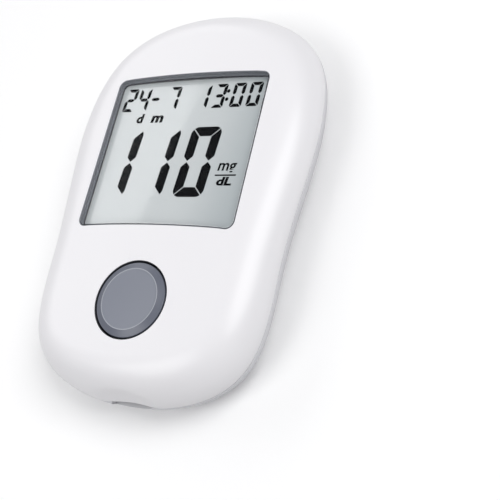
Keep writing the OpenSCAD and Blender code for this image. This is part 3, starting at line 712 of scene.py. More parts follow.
# Painted shade: the ground is painted darker towards one side, the lower right
painted_shade_slope = add_node(panel_film, "ShaderNodeMapRange", {"Value": lean.outputs[0]},
                 {"From Min": 2 * MM, "From Max": 20 * MM}, interpolation_type="SMOOTHSTEP")
vary(panel_film, "Base Color", "#CACECF", "#A7AEB1", painted_shade_slope.outputs[0])
figure_black = new_material("liquid_crystal_dark", "#0B0C0E", 0.5, Specular_IOR_Level=0.0)
vary(figure_black, "Base Color", "#08090A", "#121316", grain(figure_black, 1.2, 1.0))
dress("lcd_front_polariser", panel_film)

# %% [markdown]
# The bars of a figure are named a to g, clockwise from the top one, with g in the
# middle. Their mitres are 45 degree cuts, set back by half of the gap.

# %% Bars of one figure
SLANT = 0.057
BARS = {"0": "abcdef", "1": "bc", "2": "abged", "3": "abgcd", "4": "fgbc", "7": "abc", "-": "g"}


def bar_outlines(width, height, stroke, gap, corner):
    """corner is the radius of the figure's outer corners, and cut is where a mitre meets it."""
    w, h, s, r, half, m = width, height, stroke, corner, stroke / 2, height / 2
    # About the cosine of 45 degrees, and what it leaves of 1
    e, cut = gap * 0.7, corner * 0.29
    top = [(r, h), (w - r, h), (w - cut - e, h - cut), (w - s - e, h - s), (s + e, h - s), (cut + e, h - cut)]
    upper = [(0, h - r), (cut, h - cut - e), (s, h - s - e),
             (s, m + half + e), (half, m + e), (0, m + half + e)]
    middle = [(half + e, m), (s + e, m + half), (w - s - e, m + half),
              (w - half - e, m), (w - s - e, m - half), (s + e, m - half)]

    def across(points):
        return [(w - x, y) for x, y in points][::-1]

    def down(points):
        return [(x, h - y) for x, y in points][::-1]

    return {"a": top, "f": upper, "b": across(upper), "g": middle,
            "e": down(upper), "c": across(down(upper)), "d": down(top)}


def rounded(points, radius=0.12):
    """Cuts each corner of an outline with a small arc of three points."""
    made = []
    for i, p in enumerate(points):
        p, before, after = Vector(p), Vector(points[i - 1]), Vector(points[(i + 1) % len(points)])
        r = min(radius, (before - p).length / 3, (after - p).length / 3)
        first, last = p + (before - p).normalized() * r, p + (after - p).normalized() * r
        made += [first, (first + last) / 4 + p / 2, last]
    return made


# %% [markdown]
# The panel shows a date, a time and a reading, which any such meter could. The bars
# are thin raised plates, 0.02 mm over the film, all in one piece.

# %% Setting out the figures
FILM_Z, INK = panel_high.z, 0.02
SMALL = dict(width=2.75, height=5.55, stroke=0.76, gap=0.12, corner=0.35)
LARGE = dict(width=7.0, height=15.5, stroke=2.1, gap=0.19, corner=1.3)
small_row = [("2", -16.6), ("4", -13.2), ("-", -10.25), ("7", -5.75), ("1", 1.5), ("3", 5.25),
             ("0", 9.5), ("0", 13.25)]
large_row = [("1", -16.7), ("1", -7.55), ("0", 1.95)]
SMALL_Y, LARGE_Y = 17.8, -2.02
COLON, DOT_WIDTH, DOT_HEIGHT = [(8.47, 21.6), (8.47, 19.7)], 0.76, 0.84
FRACTION_LEFT, FRACTION_RIGHT, FRACTION_LOW, FRACTION_HIGH = 10.25, 14.9, 2.5, 2.8
DASH_STRETCH = 1.15
plates = []


def set_figure(figure, x, y, size):
    outlines = bar_outlines(**size)
    for bar in BARS[figure]:
        points = outlines[bar]
        if figure == "-":
            points = [(px * DASH_STRETCH - 0.2, py) for px, py in points]
        plates.append([(x + px + SLANT * (py - size["height"] / 2), y + py) for px, py in rounded(points)])


for figure, x in small_row:
    set_figure(figure, x, SMALL_Y, SMALL)
for figure, x in large_row:
    set_figure(figure, x, LARGE_Y, LARGE)
for cx, cy in COLON:
    plates.append([(cx + DOT_WIDTH / 2 * math.cos(t), cy + DOT_HEIGHT / 2 * math.sin(t))
                   for t in (2 * math.pi * k / 20 for k in range(20))])
plates.append([(FRACTION_LEFT, FRACTION_LOW), (FRACTION_RIGHT, FRACTION_LOW),
               (FRACTION_RIGHT, FRACTION_HIGH), (FRACTION_LEFT, FRACTION_HIGH)])

points, faces = [], []
for plate in plates:
    n, start = len(plate), len(points)
    points += [(x, y, FILM_Z) for x, y in plate] + [(x, y, FILM_Z + INK) for x, y in plate]
    faces.append(tuple(range(start + n - 1, start - 1, -1)))
    faces.append(tuple(range(start + n, start + 2 * n)))
    faces += [(start + i, start + (i + 1) % n, start + n + (i + 1) % n, start + n + i) for i in range(n)]
figures = new_piece("display_figures", points, faces, figure_black)
face_outwards(figures)
finish_piece(figures, HOUSING)
print("Bars and dots on the display:", len(plates))

# %% [markdown]
# The units and the day and month marks are small slanted letters. Blender's own
# sans-serif stands in for the display maker's; an offset makes its strokes bold.

# %% Letters of the units
def set_letters(text, x, y, height, width, bold=0.045):
    """Letters whose lower left corner is at x, y, with a real height and width."""
    curve = bpy.data.curves.new("letters", "FONT")
    curve.body, curve.shear, curve.offset, curve.extrude = text, 0.1, bold, 0.5
    holder = bpy.data.objects.new("letters", curve)
    bpy.context.scene.collection.objects.link(holder)
    graph = bpy.context.evaluated_depsgraph_get()
    mesh = bpy.data.meshes.new_from_object(holder.evaluated_get(graph))
    bpy.data.objects.remove(holder)
    piece = bpy.data.objects.new("display_letters_" + text, mesh)
    bpy.context.scene.collection.objects.link(piece)
    xs, ys = [v.co.x for v in mesh.vertices], [v.co.y for v in mesh.vertices]
    scale_x, scale_y = width / (max(xs) - min(xs)), height / (max(ys) - min(ys))
    for v in mesh.vertices:
        v.co = Vector((x + (v.co.x - min(xs)) * scale_x, y + (v.co.y - min(ys)) * scale_y,
                       FILM_Z + (INK if v.co.z > 0 else 0))) * MM
    mesh.materials.clear()
    mesh.materials.append(figure_black)
    edit(piece, lambda bm: bmesh.ops.remove_doubles(bm, verts=bm.verts, dist=1e-7))
    finish_piece(piece, HOUSING)


set_letters("d", -12.2, 14.93, 2.2, 1.75)
set_letters("m", -8.55, 14.93, 1.7, 3.0)
set_letters("mg", 10.5, 2.85, 2.45, 4.1, 0.02)
set_letters("dL", 10.95, 0.43, 1.85, 3.4)

# %% [markdown]
# ## The button
# The cap is moulded in slate-grey plastic with a fine satin grain. A sloping ring rises
# inwards to a small bead that catches the light, and inside the bead the middle is
# dished for the fingertip. The mould is smoother on the ring. The ring's colour is
# painted darker than the middle as painted shade, and the bead is painted pale as a
# painted highlight. The cap is turned about its axis, as the mould was.

# %% Button cap
BUTTON_RING, BUTTON_RISE, BUTTON_DISH, BEAD = 1.4, 0.45, 0.45, 0.1
RIM_Z = crowned(BUTTON_RADIUS)
BEAD_Z = RIM_Z + BUTTON_RISE
MIDDLE = BUTTON_RADIUS - BUTTON_RING
slate = new_material("slate_grey_satin_plastic", "#868A95", 0.4)
from_axis = add_node(slate, "ShaderNodeVectorMath", {0: spot_on(slate, (1, 1, 0))},
                     {1: (0, BUTTON_Y * MM, 0)}, operation="DISTANCE")
on_ring = add_node(slate, "ShaderNodeMapRange", {"Value": from_axis.outputs["Value"]},
                   {"From Min": (MIDDLE + 0.02) * MM, "From Max": (MIDDLE + 0.12) * MM})
vary(slate, "Roughness", 0.44, 0.3, on_ring.outputs[0])
on_bead = add_node(slate, "ShaderNodeMath", {0: from_axis.outputs["Value"]},
                   {1: MIDDLE * MM, 2: 0.08 * MM}, operation="COMPARE")
# Painted shade: the ring is painted darker than the middle
ring_painted_shade = add_node(slate, "ShaderNodeMix", {"Factor": on_ring.outputs[0]},
                    {6: linear("#858994"), 7: linear("#6A6E7A")}, data_type="RGBA")
# A painted highlight: the bead is painted paler than both
bead_painted_highlight = add_node(slate, "ShaderNodeMix", {"Factor": on_bead.outputs[0], 6: ring_painted_shade.outputs[2]},
                  {7: linear("#A9ADB5")}, data_type="RGBA")
slate.node_tree.links.new(bead_painted_highlight.outputs[2], shader_of(slate).inputs["Base Color"])
relief(slate, grain(slate, 0.22, 1.0), 0.005)
PLUNGER_TOP = box_mm("switch_plunger")[1].z
FLANGE_RADIUS, FLANGE = HOLE_RADIUS + 0.8, 1.0
STEM_RADIUS, AXIS, RIM_ROUND, COLLAR_GAP = 2.4, 0.01, 0.15, 0.01
profile = [(AXIS, PLUNGER_TOP), (STEM_RADIUS, PLUNGER_TOP), (STEM_RADIUS, COLLAR_Z - FLANGE),
           (FLANGE_RADIUS, COLLAR_Z - FLANGE), (FLANGE_RADIUS, COLLAR_Z - COLLAR_GAP),
           (BUTTON_RADIUS, COLLAR_Z - COLLAR_GAP), (BUTTON_RADIUS, RIM_Z - RIM_ROUND)]
profile += [(BUTTON_RADIUS - RIM_ROUND * (1 - math.cos(t)), RIM_Z - RIM_ROUND * (1 - math.sin(t)))
            for t in (math.pi / 6, math.pi / 3, math.pi / 2)]
ring_start, ring_end = BUTTON_RADIUS - 0.2, MIDDLE + 0.14
profile += [(ring_start + (ring_end - ring_start) * k / 6, RIM_Z + BUTTON_RISE * k / 6) for k in range(1, 7)]
profile += [(MIDDLE + 0.1 * math.cos(t), BEAD_Z + 0.6 * BEAD * math.sin(t))
            for t in (math.pi / 3, math.pi / 2, math.pi * 2 / 3)]
profile += [(r, BEAD_Z - BUTTON_DISH * (1 - (r / MIDDLE) ** 2))
            for r in [MIDDLE * (0.975 - 0.975 * k / 14) for k in range(14)] + [AXIS]]
button = turned("main_button_cap", profile, (0, BUTTON_Y), slate)
finish_piece(button, BUTTON, ["main_button"], 60)

# %% [markdown]
# ## Battery door
# Nothing that is moulded has a knife edge. The door is a copy of its CAD solid with the
# doubles merged, the flat faces joined again and every edge bevelled. The grip ribs in
# its lower end are small half-round bars, all alike, so a Geometry Nodes tree sets
# copies of one bar in a row.

# %% A softened copy of a CAD solid
def softened(node, name, material, radius, body=HOUSING, keep=None):
    """A copy of a CAD node with rounded edges. keep says which vertices stay in it, and
    the holes that the others leave are closed."""
    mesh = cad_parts[node].data.copy()
    piece = bpy.data.objects.new(name, mesh)
    bpy.context.scene.collection.objects.link(piece)
    mesh.materials.clear()
    mesh.materials.append(material)

    def tidy(bm):
        bmesh.ops.remove_doubles(bm, verts=bm.verts, dist=0.002 * MM)
        if keep:
            spare = [v for v in bm.verts if not keep(v.co / MM)]
            bmesh.ops.delete(bm, geom=spare, context="VERTS")
            bmesh.ops.holes_fill(bm, edges=[e for e in bm.edges if e.is_boundary])
        bmesh.ops.dissolve_limit(bm, angle_limit=math.radians(1), verts=bm.verts, edges=bm.edges)

    edit(piece, tidy)
    face_outwards(piece)
    modify(piece, "BEVEL", width=radius * MM, segments=2, limit_method="ANGLE",
           angle_limit=math.radians(35))
    return finish_piece(piece, body, [node])


# %% A tree that sets copies in a row
def start_tree(name, inputs):
    """A Geometry Nodes tree with a geometry input, named inputs and a geometry output."""
    tree = bpy.data.node_groups.new(name, "GeometryNodeTree")
    tree.interface.new_socket(name="Geometry", in_out="INPUT", socket_type="NodeSocketGeometry")
    for label, kind in inputs:
        tree.interface.new_socket(name=label, in_out="INPUT", socket_type="NodeSocket" + kind)
    tree.interface.new_socket(name="Geometry", in_out="OUTPUT", socket_type="NodeSocketGeometry")
    return tree, add_node(tree, "NodeGroupInput").outputs


def end_tree(tree, instances, finish):
    """Ends in Realize Instances and Set Material."""
    real = add_node(tree, "GeometryNodeRealizeInstances", {"Geometry": instances})
    painted = add_node(tree, "GeometryNodeSetMaterial", {"Geometry": real.outputs[0], "Material": finish})
    add_node(tree, "NodeGroupOutput", {"Geometry": painted.outputs[0]})


row, given = start_tree("copies_in_a_row", [("Count", "Int"), ("Start", "Vector"), ("Step", "Vector"),
                                            ("Master", "Object"), ("Finish", "Material")])
line = add_node(row, "GeometryNodeMeshLine",
                {"Count": given["Count"], "Start Location": given["Start"], "Offset": given["Step"]})
master_info = add_node(row, "GeometryNodeObjectInfo", {"Object": given["Master"]})
placed = add_node(row, "GeometryNodeInstanceOnPoints",
                  {"Points": line.outputs[0], "Instance": master_info.outputs["Geometry"]})
end_tree(row, placed.outputs[0], given["Finish"])


# %% Running a tree and baking it
def grow(name, tree, points=(), **values):
    """A new piece from a tree. points are in millimetres, and values are named inputs."""
    piece = new_piece(name, points or [(0, 0, 0)], [])
    modifier = piece.modifiers.new("nodes", "NODES")
    modifier.node_group = tree
    for item in tree.interface.items_tree:
        label = item.name.replace(" ", "_").lower()
        if item.in_out == "INPUT" and label in values:
            modifier[item.identifier] = values[label]
    bake(piece)
    return piece


def in_row(name, master, count, start, step, finish):
    """Copies of a master piece, which is then taken away."""
    piece = grow(name, row, count=count, start=Vector(start) * MM, step=Vector(step) * MM,
                 master=master, finish=finish)
    bpy.data.objects.remove(master)
    return piece


# %% Door and its ribs
RIB_COUNT, RIB_PITCH, RIB_LENGTH, RIB_WIDTH, DOOR_LIFT = 5, 1.6, 11.0, 0.6, 0.15
softened("battery_door", "battery_door_plate", grey_abs, 0.18, DOOR,
         keep=lambda p: p.z > DOOR_LIFT - 0.01)
RIB_ROOT = DOOR_LIFT + 0.05
rib_rings = []
for k in range(9):
    x = -RIB_LENGTH / 2 + RIB_LENGTH * k / 8
    slim = 1 - 0.6 * abs(2 * k / 8 - 1) ** 6
    rib_rings.append([(x, RIB_WIDTH / 2 * math.cos(t) * slim, RIB_ROOT - RIB_ROOT * math.sin(t) * slim)
                      for t in (math.pi * j / 10 for j in range(11))])
rib = loft("grip_rib", rib_rings, [(-RIB_LENGTH / 2, 0, DOOR_LIFT), (RIB_LENGTH / 2, 0, DOOR_LIFT)])
ribs = in_row("battery_door_ribs", rib, RIB_COUNT, (0, DOOR_LOW + NAIL_RADIUS + 1, 0), (0, RIB_PITCH, 0),
              grey_abs)
finish_piece(ribs, DOOR)

# %% [markdown]
# ## Screws
# Small zinc plated pan-head screws with a cross recess hold the covers and the board.
# Another tree turns a screw out of primitives: a head with a chamfer, a shank, and a
# thread that is a small section swept along a helix. It then sets one on each point.

# %% Zinc plate
# Zinc is bright but a little milky, with faint bluish and yellowish patches
zinc = new_material("zinc_plated_steel", "#B4B6BA", 0.34, Metallic=1.0)
vary(zinc, "Roughness", 0.28, 0.42, grain(zinc, 0.8, 2.0))
vary(zinc, "Base Color", "#AEB1B6", "#BFBDB6", grain(zinc, 1.5, 1.0))
relief(zinc, grain(zinc, 0.3, 1.0), 0.003)

# %% A tree that makes screws
screw_tree, size = start_tree("cross_head_screws", [
    ("Core Radius", "Float"), ("Shank Length", "Float"), ("Head Radius", "Float"), ("Head Height", "Float"),
    ("Chamfer Radius", "Float"), ("Chamfer Height", "Float"), ("Thread Turns", "Float"),
    ("Thread Depth", "Float"), ("Recess Long", "Vector"), ("Recess Across", "Vector"),
    ("Finish", "Material")])


def turned_part(low_radius, high_radius, height, base=None):
    """A cone or cylinder of the tree, raised by base."""
    links = {"Radius Bottom": low_radius, "Radius Top": high_radius, "Depth": height}
    part = add_node(screw_tree, "GeometryNodeMeshCone", links, {"Vertices": 32})
    return raised(part.outputs["Mesh"], base) if base else part.outputs["Mesh"]


def raised(geometry, height):
    lift = add_node(screw_tree, "ShaderNodeCombineXYZ", {"Z": height}).outputs[0]
    links = {"Geometry": geometry, "Translation": lift}
    return add_node(screw_tree, "GeometryNodeTransform", links).outputs[0]


head = add_node(screw_tree, "GeometryNodeMeshBoolean", operation="UNION", solver="EXACT")
recessed = add_node(screw_tree, "GeometryNodeMeshBoolean", {"Mesh 1": head.outputs[0]},
                    operation="DIFFERENCE", solver="EXACT")
whole = add_node(screw_tree, "GeometryNodeJoinGeometry", {"Geometry": recessed.outputs[0]})
helix = add_node(screw_tree, "GeometryNodeCurveSpiral", {
    "Rotations": size["Thread Turns"], "Start Radius": size["Core Radius"], "End Radius": size["Core Radius"],
    "Height": size["Shank Length"]}, {"Resolution": 16})
ridge = add_node(screw_tree, "GeometryNodeCurvePrimitiveCircle", {"Radius": size["Thread Depth"]},
                 {"Resolution": 4})
thread = add_node(screw_tree, "GeometryNodeCurveToMesh",
                  {"Curve": helix.outputs[0], "Profile Curve": ridge.outputs[0]}, {"Fill Caps": True})
bits = [add_node(screw_tree, "GeometryNodeMeshCube", {"Size": size[label]}).outputs["Mesh"]
        for label in ("Recess Long", "Recess Across")]
chamfered = turned_part(size["Chamfer Radius"], size["Head Radius"], size["Chamfer Height"])
straight = turned_part(size["Head Radius"], size["Head Radius"], size["Head Height"], size["Chamfer Height"])
shank = turned_part(size["Core Radius"], size["Core Radius"], size["Shank Length"], size["Head Height"])
winding = raised(thread.outputs[0], size["Head Height"])
for socket, items in ((head.inputs["Mesh 2"], [chamfered, straight]), (recessed.inputs["Mesh 2"], bits),
                      (whole.inputs["Geometry"], [shank, winding])):
    for item in items:
        screw_tree.links.new(item, socket)
set_down = add_node(screw_tree, "GeometryNodeInstanceOnPoints",
                    {"Points": size["Geometry"], "Instance": whole.outputs[0]})
end_tree(screw_tree, set_down.outputs[0], size["Finish"])

# %% Six screws
def set_screws(node, spots, radius, length, head_radius, head_height, pitch):
    """Screws with their heads down at the CAD node's lowest point."""
    depth, recess, long, across = 0.14, 1.2, 1.3 * head_radius, 0.3 * head_radius
    chamfer, side = head_height * 0.25, head_height * 0.75
    base = box_mm(node)[0].z
    piece = grow(node + "_threaded", screw_tree, [(x, y, base) for x, y in spots],
                 core_radius=(radius - depth) * MM, shank_length=(length + chamfer) * MM,
                 head_radius=head_radius * MM, head_height=side * MM, chamfer_radius=head_radius * 0.84 * MM,
                 chamfer_height=chamfer * MM, thread_turns=length / pitch, thread_depth=depth * MM,
                 recess_long=Vector((long, across, recess)) * MM,
                 recess_across=Vector((across, long, recess)) * MM, finish=zinc)
    face_outwards(piece)
    finish_piece(piece, HOUSING, [node])


set_screws("housing_screws", SCREW_SPOTS, radius=1.0, length=7.0,
           head_radius=1.9, head_height=1.2, pitch=0.8)
set_screws("board_screws", BOARD_SCREW_SPOTS, radius=0.8, length=4.0,
           head_radius=1.5, head_height=0.8, pitch=0.6)

# %% [markdown]
# ## Inside the meter
# The open door and the slot show some of the inside, and every other piece is finished
# as well. Leads and end caps are tinned: a mask that is 1 within a box, here around a
# chip's body, tells the resin from the metal.

# %% Masks
def within(material, low, high):
    """1 inside a box between two corners in millimetres, and 0 outside it."""
    middle, half = (Vector(low) + Vector(high)) / 2 * MM, (Vector(high) - Vector(low)) / 2 * MM
    away = add_node(material, "ShaderNodeVectorMath", {0: spot_on(material)}, {1: middle},
                    operation="SUBTRACT")
    apart = add_node(material, "ShaderNodeVectorMath", {0: away.outputs[0]}, operation="ABSOLUTE")
    over = add_node(material, "ShaderNodeVectorMath", {0: apart.outputs[0]}, {1: half}, operation="SUBTRACT")
    axes = add_node(material, "ShaderNodeSeparateXYZ", {"Vector": over.outputs[0]}).outputs
    wide = add_node(material, "ShaderNodeMath", {0: axes["X"], 1: axes["Y"]}, operation="MAXIMUM")
    worst = add_node(material, "ShaderNodeMath", {0: wide.outputs[0], 1: axes["Z"]}, operation="MAXIMUM")
    inside = add_node(material, "ShaderNodeMath", {0: worst.outputs[0]}, {1: 0.0}, operation="LESS_THAN")
    return inside.outputs[0]


# %% [markdown]
# Copper tracks under the green mask show as lighter, raised lines: a brick pattern's
# joints, 0.25 mm wide, pass for them. The board's cut edge is bare laminate. Real tracks
# are half as wide, and are drawn coarser so that they show.

# %% Board
green_mask = new_material("green_solder_mask", "#1C5E3A", 0.3, Coat_Weight=0.3)
tracks = add_node(green_mask, "ShaderNodeTexBrick", {"Vector": spot_on(green_mask)},
                  {"Color1": linear("#1A5A37"), "Color2": linear("#1D6340"), "Mortar": linear("#2F8557"),
                   "Scale": per_metre(1), "Mortar Size": 0.125, "Brick Width": 3.4, "Row Height": 1.3})
facing = add_node(green_mask, "ShaderNodeSeparateXYZ",
                  {"Vector": add_node(green_mask, "ShaderNodeTexCoord").outputs["Normal"]})
upright = add_node(green_mask, "ShaderNodeMath", {0: facing.outputs["Z"]}, operation="ABSOLUTE")
sawn = add_node(green_mask, "ShaderNodeMath", {0: upright.outputs[0]}, {1: 0.5}, operation="LESS_THAN")
masked = add_node(green_mask, "ShaderNodeMix", {"Factor": sawn.outputs[0], 6: tracks.outputs["Color"]},
                  {7: linear("#B9B27C")}, data_type="RGBA")
green_mask.node_tree.links.new(masked.outputs[2], shader_of(green_mask).inputs["Base Color"])
relief(green_mask, tracks.outputs["Fac"], 0.03)
vary(green_mask, "Roughness", 0.26, 0.36, grain(green_mask, 5.0))
dress("circuit_board", green_mask)

# %% Chips and their tinned leads
for node, width, length in (("processor", 10, 10), ("measuring_chip", 5, 6.2)):
    epoxy = new_material(node + "_black_epoxy", "#1B1C1E", 0.55)
    low, high = box_mm(node)
    middle = (low + high) / 2
    corner = Vector((width / 2 + 0.01, length / 2 + 0.01, 5))
    body_mask = within(epoxy, middle - corner, middle + corner)
    vary(epoxy, "Base Color", "#C9CACC", "#1B1C1E", body_mask)
    vary(epoxy, "Metallic", 1.0, 0.0, body_mask)
    # Laser-dulled resin has a grain of about 0.05 mm, drawn at 0.15 mm
    relief(epoxy, grain(epoxy, 0.15), 0.01)
    vary(epoxy, "Roughness", 0.45, 0.6, grain(epoxy, 1.2))
    dress(node, epoxy)

# %% [markdown]
# Fired ceramic parts have dipped ends. Each one's copy is cut near both ends of its
# longer side, and the faces beyond the cuts take the tin.

# %% Ceramic parts with tin ends
ceramic = new_material("fired_tan_ceramic", "#8F6A44", 0.5)
vary(ceramic, "Base Color", "#86613C", "#9A7450", grain(ceramic, 0.6))
relief(ceramic, grain(ceramic, 0.12), 0.006)
tin = new_material("matt_tin_plate", "#C6C8CB", 0.38, Metallic=1.0)
vary(tin, "Roughness", 0.32, 0.46, grain(tin, 0.5))
relief(tin, grain(tin, 0.1), 0.004)
small_parts = softened("board_components", "board_components_tinned", ceramic, 0.06)
small_parts.data.materials.append(tin)
# The tin begins at this share of the way from a part's middle to its end
DIPPED = 0.55


def joined_groups(bm):
    """Lists of vertices, one for each separate part."""
    groups, seen = [], set()
    for first in bm.verts:
        if first in seen:
            continue
        group = [first]
        seen.add(first)
        for vert in group:
            near = [e.other_vert(vert) for e in vert.link_edges if e.other_vert(vert) not in seen]
            seen.update(near)
            group += near
        groups.append(group)
    return groups


def faces_at(group):
    return list(dict.fromkeys(f for v in group if v.is_valid for f in v.link_faces))


def dip_ends(bm):
    for group in joined_groups(bm):
        lows, highs = [[pick(v.co[i] for v in group) for i in (0, 1)] for pick in (min, max)]
        axis = 0 if highs[0] - lows[0] > highs[1] - lows[1] else 1
        middle, reach = (lows[axis] + highs[axis]) / 2, (highs[axis] - lows[axis]) / 2
        for side in (-1, 1):
            normal = Vector((side, 0, 0)) if axis == 0 else Vector((0, side, 0))
            faces = faces_at(group)
            edges = list(dict.fromkeys(e for f in faces for e in f.edges))
            verts = list(dict.fromkeys(v for f in faces for v in f.verts))
            made = bmesh.ops.bisect_plane(bm, geom=faces + edges + verts, plane_no=normal,
                                          plane_co=normal * (side * middle + reach * DIPPED))
            group += [g for g in made["geom_cut"] if isinstance(g, bmesh.types.BMVert)]
        for face in faces_at(group):
            if abs(face.calc_center_median()[axis] - middle) > reach * DIPPED:
                face.material_index = 1


edit(small_parts, dip_ends)
print("Ceramic parts with dipped ends:", len(small_parts.data.polygons), "faces")

# %% [markdown]
# The other inner pieces keep their CAD solids, or softened copies, and take a finish
# each. Where a process leaves a grain, its real size is given beside it.

# %% Resins
nylon = new_material("black_glass_filled_nylon", "#1D1E21", 0.5)
# Glass fibres 0.01 mm thick and 0.2 mm long show as short streaks, drawn 0.05 mm thick
relief(nylon, grain(nylon, 0.25, 1.0, (1, 5, 1)), 0.006)
vary(nylon, "Roughness", 0.42, 0.58, grain(nylon, 0.8))
for node in ("strip_connector", "beeper"):
    dress(node, nylon)
# A pressed steel lid, 0.25 mm thick, covers the switch's resin
switch_resin = new_material("switch_resin_and_steel", "#232427", 0.45)
SWITCH_HALF, LID, switch_top = 2.6, 0.25, box_mm("switch_body")[1].z
lid = within(switch_resin, (-SWITCH_HALF, BUTTON_Y - SWITCH_HALF, switch_top - LID),
             (SWITCH_HALF, BUTTON_Y + SWITCH_HALF, switch_top + 1))
vary(switch_resin, "Base Color", "#232427", "#C4C5C8", lid)
vary(switch_resin, "Metallic", 0.0, 1.0, lid)
relief(switch_resin, grain(switch_resin, 0.3), 0.004)
dress("switch_body", switch_resin)

white_resin = new_material("white_polycarbonate", "#E3E3DE", 0.42)
vary(white_resin, "Base Color", "#DFDFD9", "#E8E8E4", grain(white_resin, 7.0))
# Flow lines from the gate run along the frame
relief(white_resin, grain(white_resin, 2.0, 1.0, (1, 0.2, 1)), 0.004)
for node in ("lcd_holder", "switch_plunger"):
    dress(node, white_resin)

# %% [markdown]
# The contact strips are stacks of conducting and insulating silicone, so they look
# striped. The layers are 0.05 mm thick in real strips, drawn at 0.25 mm. A wave texture
# of scale 1 repeats about every 1 / pi, so its scale is divided by pi.

# %% Striped silicone, foam and glass
zebra = new_material("layered_silicone", "#3A3A3D", 0.75)
layers = add_node(zebra, "ShaderNodeTexWave", {"Vector": spot_on(zebra)},
                  {"Scale": per_metre(0.5) / math.pi, "Distortion": 0.0}, bands_direction="X")
vary(zebra, "Base Color", "#2B2B2E", "#B59A92", layers.outputs["Fac"])
relief(zebra, layers.outputs["Fac"], 0.01)
dress("zebra_connectors", zebra)

# Closed cells of about 0.3 mm give the foam a dull, pitted face
foam = new_material("closed_cell_foam", "#45454A", 0.9)
cells = add_node(foam, "ShaderNodeTexVoronoi", {"Vector": spot_on(foam)}, {"Scale": per_metre(0.3)})
vary(foam, "Base Color", "#3B3B40", "#515157", cells.outputs["Distance"])
relief(foam, cells.outputs["Distance"], 0.08)
dress("display_gasket", foam)

# Drawn sheet glass has a fire-polished face and the faint green of its iron
sheet_glass = new_material("display_sheet_glass", "#E4ECE9", 0.02, Transmission_Weight=0.9, Ior=1.52)
vary(sheet_glass, "Roughness", 0.01, 0.04, grain(sheet_glass, 4.0))
for node in ("lcd_front_glass", "lcd_rear_glass"):
    dress(node, sheet_glass)
# The reflector's film is brushed one way, so it spreads light across that way
silvered = new_material("brushed_reflector_film", "#B4B9B8", 0.4, Metallic=0.6)
relief(silvered, grain(silvered, 0.3, 1.0, (1, 0.05, 1)), 0.004)
vary(silvered, "Roughness", 0.36, 0.46, grain(silvered, 2.0))
dress("lcd_reflector", silvered)

# %% [markdown]
# The coin cells are pressed from nickel plated steel, with a rolled rim, and a plus is
# stamped on the positive face, as on every such cell. Springs and the strip's contacts
# are cut from thin sheet, with a fine grain that the rollers leave.

# %% Plated metals
steel = new_material("nickel_plated_steel", "#C9CACB", 0.3, Metallic=1.0)
cell_low, cell_high = box_mm("coin_cells")
cell_radius = (cell_high.x - cell_low.x) / 2
ARM_LENGTH, ARM_WIDTH, STAMP_DEPTH = 4.0, 0.9, 0.12
halves = [Vector((ARM_LENGTH, ARM_WIDTH, 0.6)) / 2, Vector((ARM_WIDTH, ARM_LENGTH, 0.6)) / 2]
middles = [Vector((0, y, cell_low.z)) for y in (cell_low.y + cell_radius, cell_high.y - cell_radius)]
arms = [within(steel, middle - half, middle + half) for middle in middles for half in halves]
plus = arms[0]
for arm in arms[1:]:
    plus = add_node(steel, "ShaderNodeMath", {0: plus, 1: arm}, operation="MAXIMUM").outputs[0]
stamped = relief(steel, plus, -STAMP_DEPTH)
relief(steel, grain(steel, 0.25, 2.0), 0.004, under=stamped)
vary(steel, "Roughness", 0.25, 0.4, grain(steel, 1.5))
vary(steel, "Base Color", "#C3C4C6", "#D2D2D0", grain(steel, 6.0))
softened("coin_cells", "coin_cells_rolled", steel, 0.25)

# Rolling marks are about 0.02 mm apart, drawn at 0.1 mm
spring = new_material("rolled_spring_steel", "#C2C0BA", 0.32, Metallic=1.0)
relief(spring, grain(spring, 0.1, 1.0, (1, 0.05, 1)), 0.003)
vary(spring, "Roughness", 0.26, 0.38, grain(spring, 1.0))
for node in ("cell_positive_contacts", "cell_negative_contacts"):
    softened(node, node + "_sprung", spring, 0.03)
# A thin gold plate takes on the rolled sheet's grain, and looks warm and smooth
gold = new_material("gold_plated_bronze", "#D8B15B", 0.25, Metallic=1.0)
relief(gold, grain(gold, 0.1, 1.0, (1, 0.1, 1)), 0.002)
vary(gold, "Roughness", 0.2, 0.3, grain(gold, 0.6))
softened("strip_contacts", "strip_contacts_gilded", gold, 0.03)
# The crystal's can is deep drawn, which leaves streaks along it
can = new_material("drawn_nickel_can", "#CACBCE", 0.28, Metallic=1.0)
relief(can, grain(can, 0.15, 1.0, (1, 0.05, 1)), 0.003)
vary(can, "Roughness", 0.22, 0.34, grain(can, 0.8))
softened("clock_crystal", "clock_crystal_can", can, 0.15)

# %% [markdown]
# ## Floor, light and camera
# The floor is plain and pale. A camera ray sees it brighter than the lamps alone would
# show it, so the ground turns white while it still holds the meter's soft shadow. The
# lamps stay at a plain level, at which a colour renders about as it is written.

# %% Floor
floor_paint = bpy.data.materials.new("studio_floor")
floor_paint.use_nodes = True
floor_tree = floor_paint.node_tree
floor_tree.nodes.remove(floor_tree.nodes["Principled BSDF"])
seen = add_node(floor_paint, "ShaderNodeLightPath")
PAINT, PAINT_SEEN = (0.8, 0.8, 0.8, 1), (1.05, 1.05, 1.05, 1)
tone = add_node(floor_paint, "ShaderNodeMix", {"Factor": seen.outputs["Is Camera Ray"]},
                {6: PAINT, 7: PAINT_SEEN}, data_type="RGBA")
chalk = add_node(floor_paint, "ShaderNodeBsdfDiffuse", {"Color": tone.outputs[2]})
floor_tree.links.new(chalk.outputs[0], floor_tree.nodes["Material Output"].inputs["Surface"])
FLOOR = 3000
corners = [(-FLOOR, -FLOOR, 0), (FLOOR, -FLOOR, 0), (FLOOR, FLOOR, 0), (-FLOOR, FLOOR, 0)]
floor = new_piece("studio_floor", corners, [(0, 1, 2, 3)], floor_paint)

# %% [markdown]
# The world is white where the camera looks at it, straight or through the window, and
# much darker where it lights the meter or is mirrored in it.

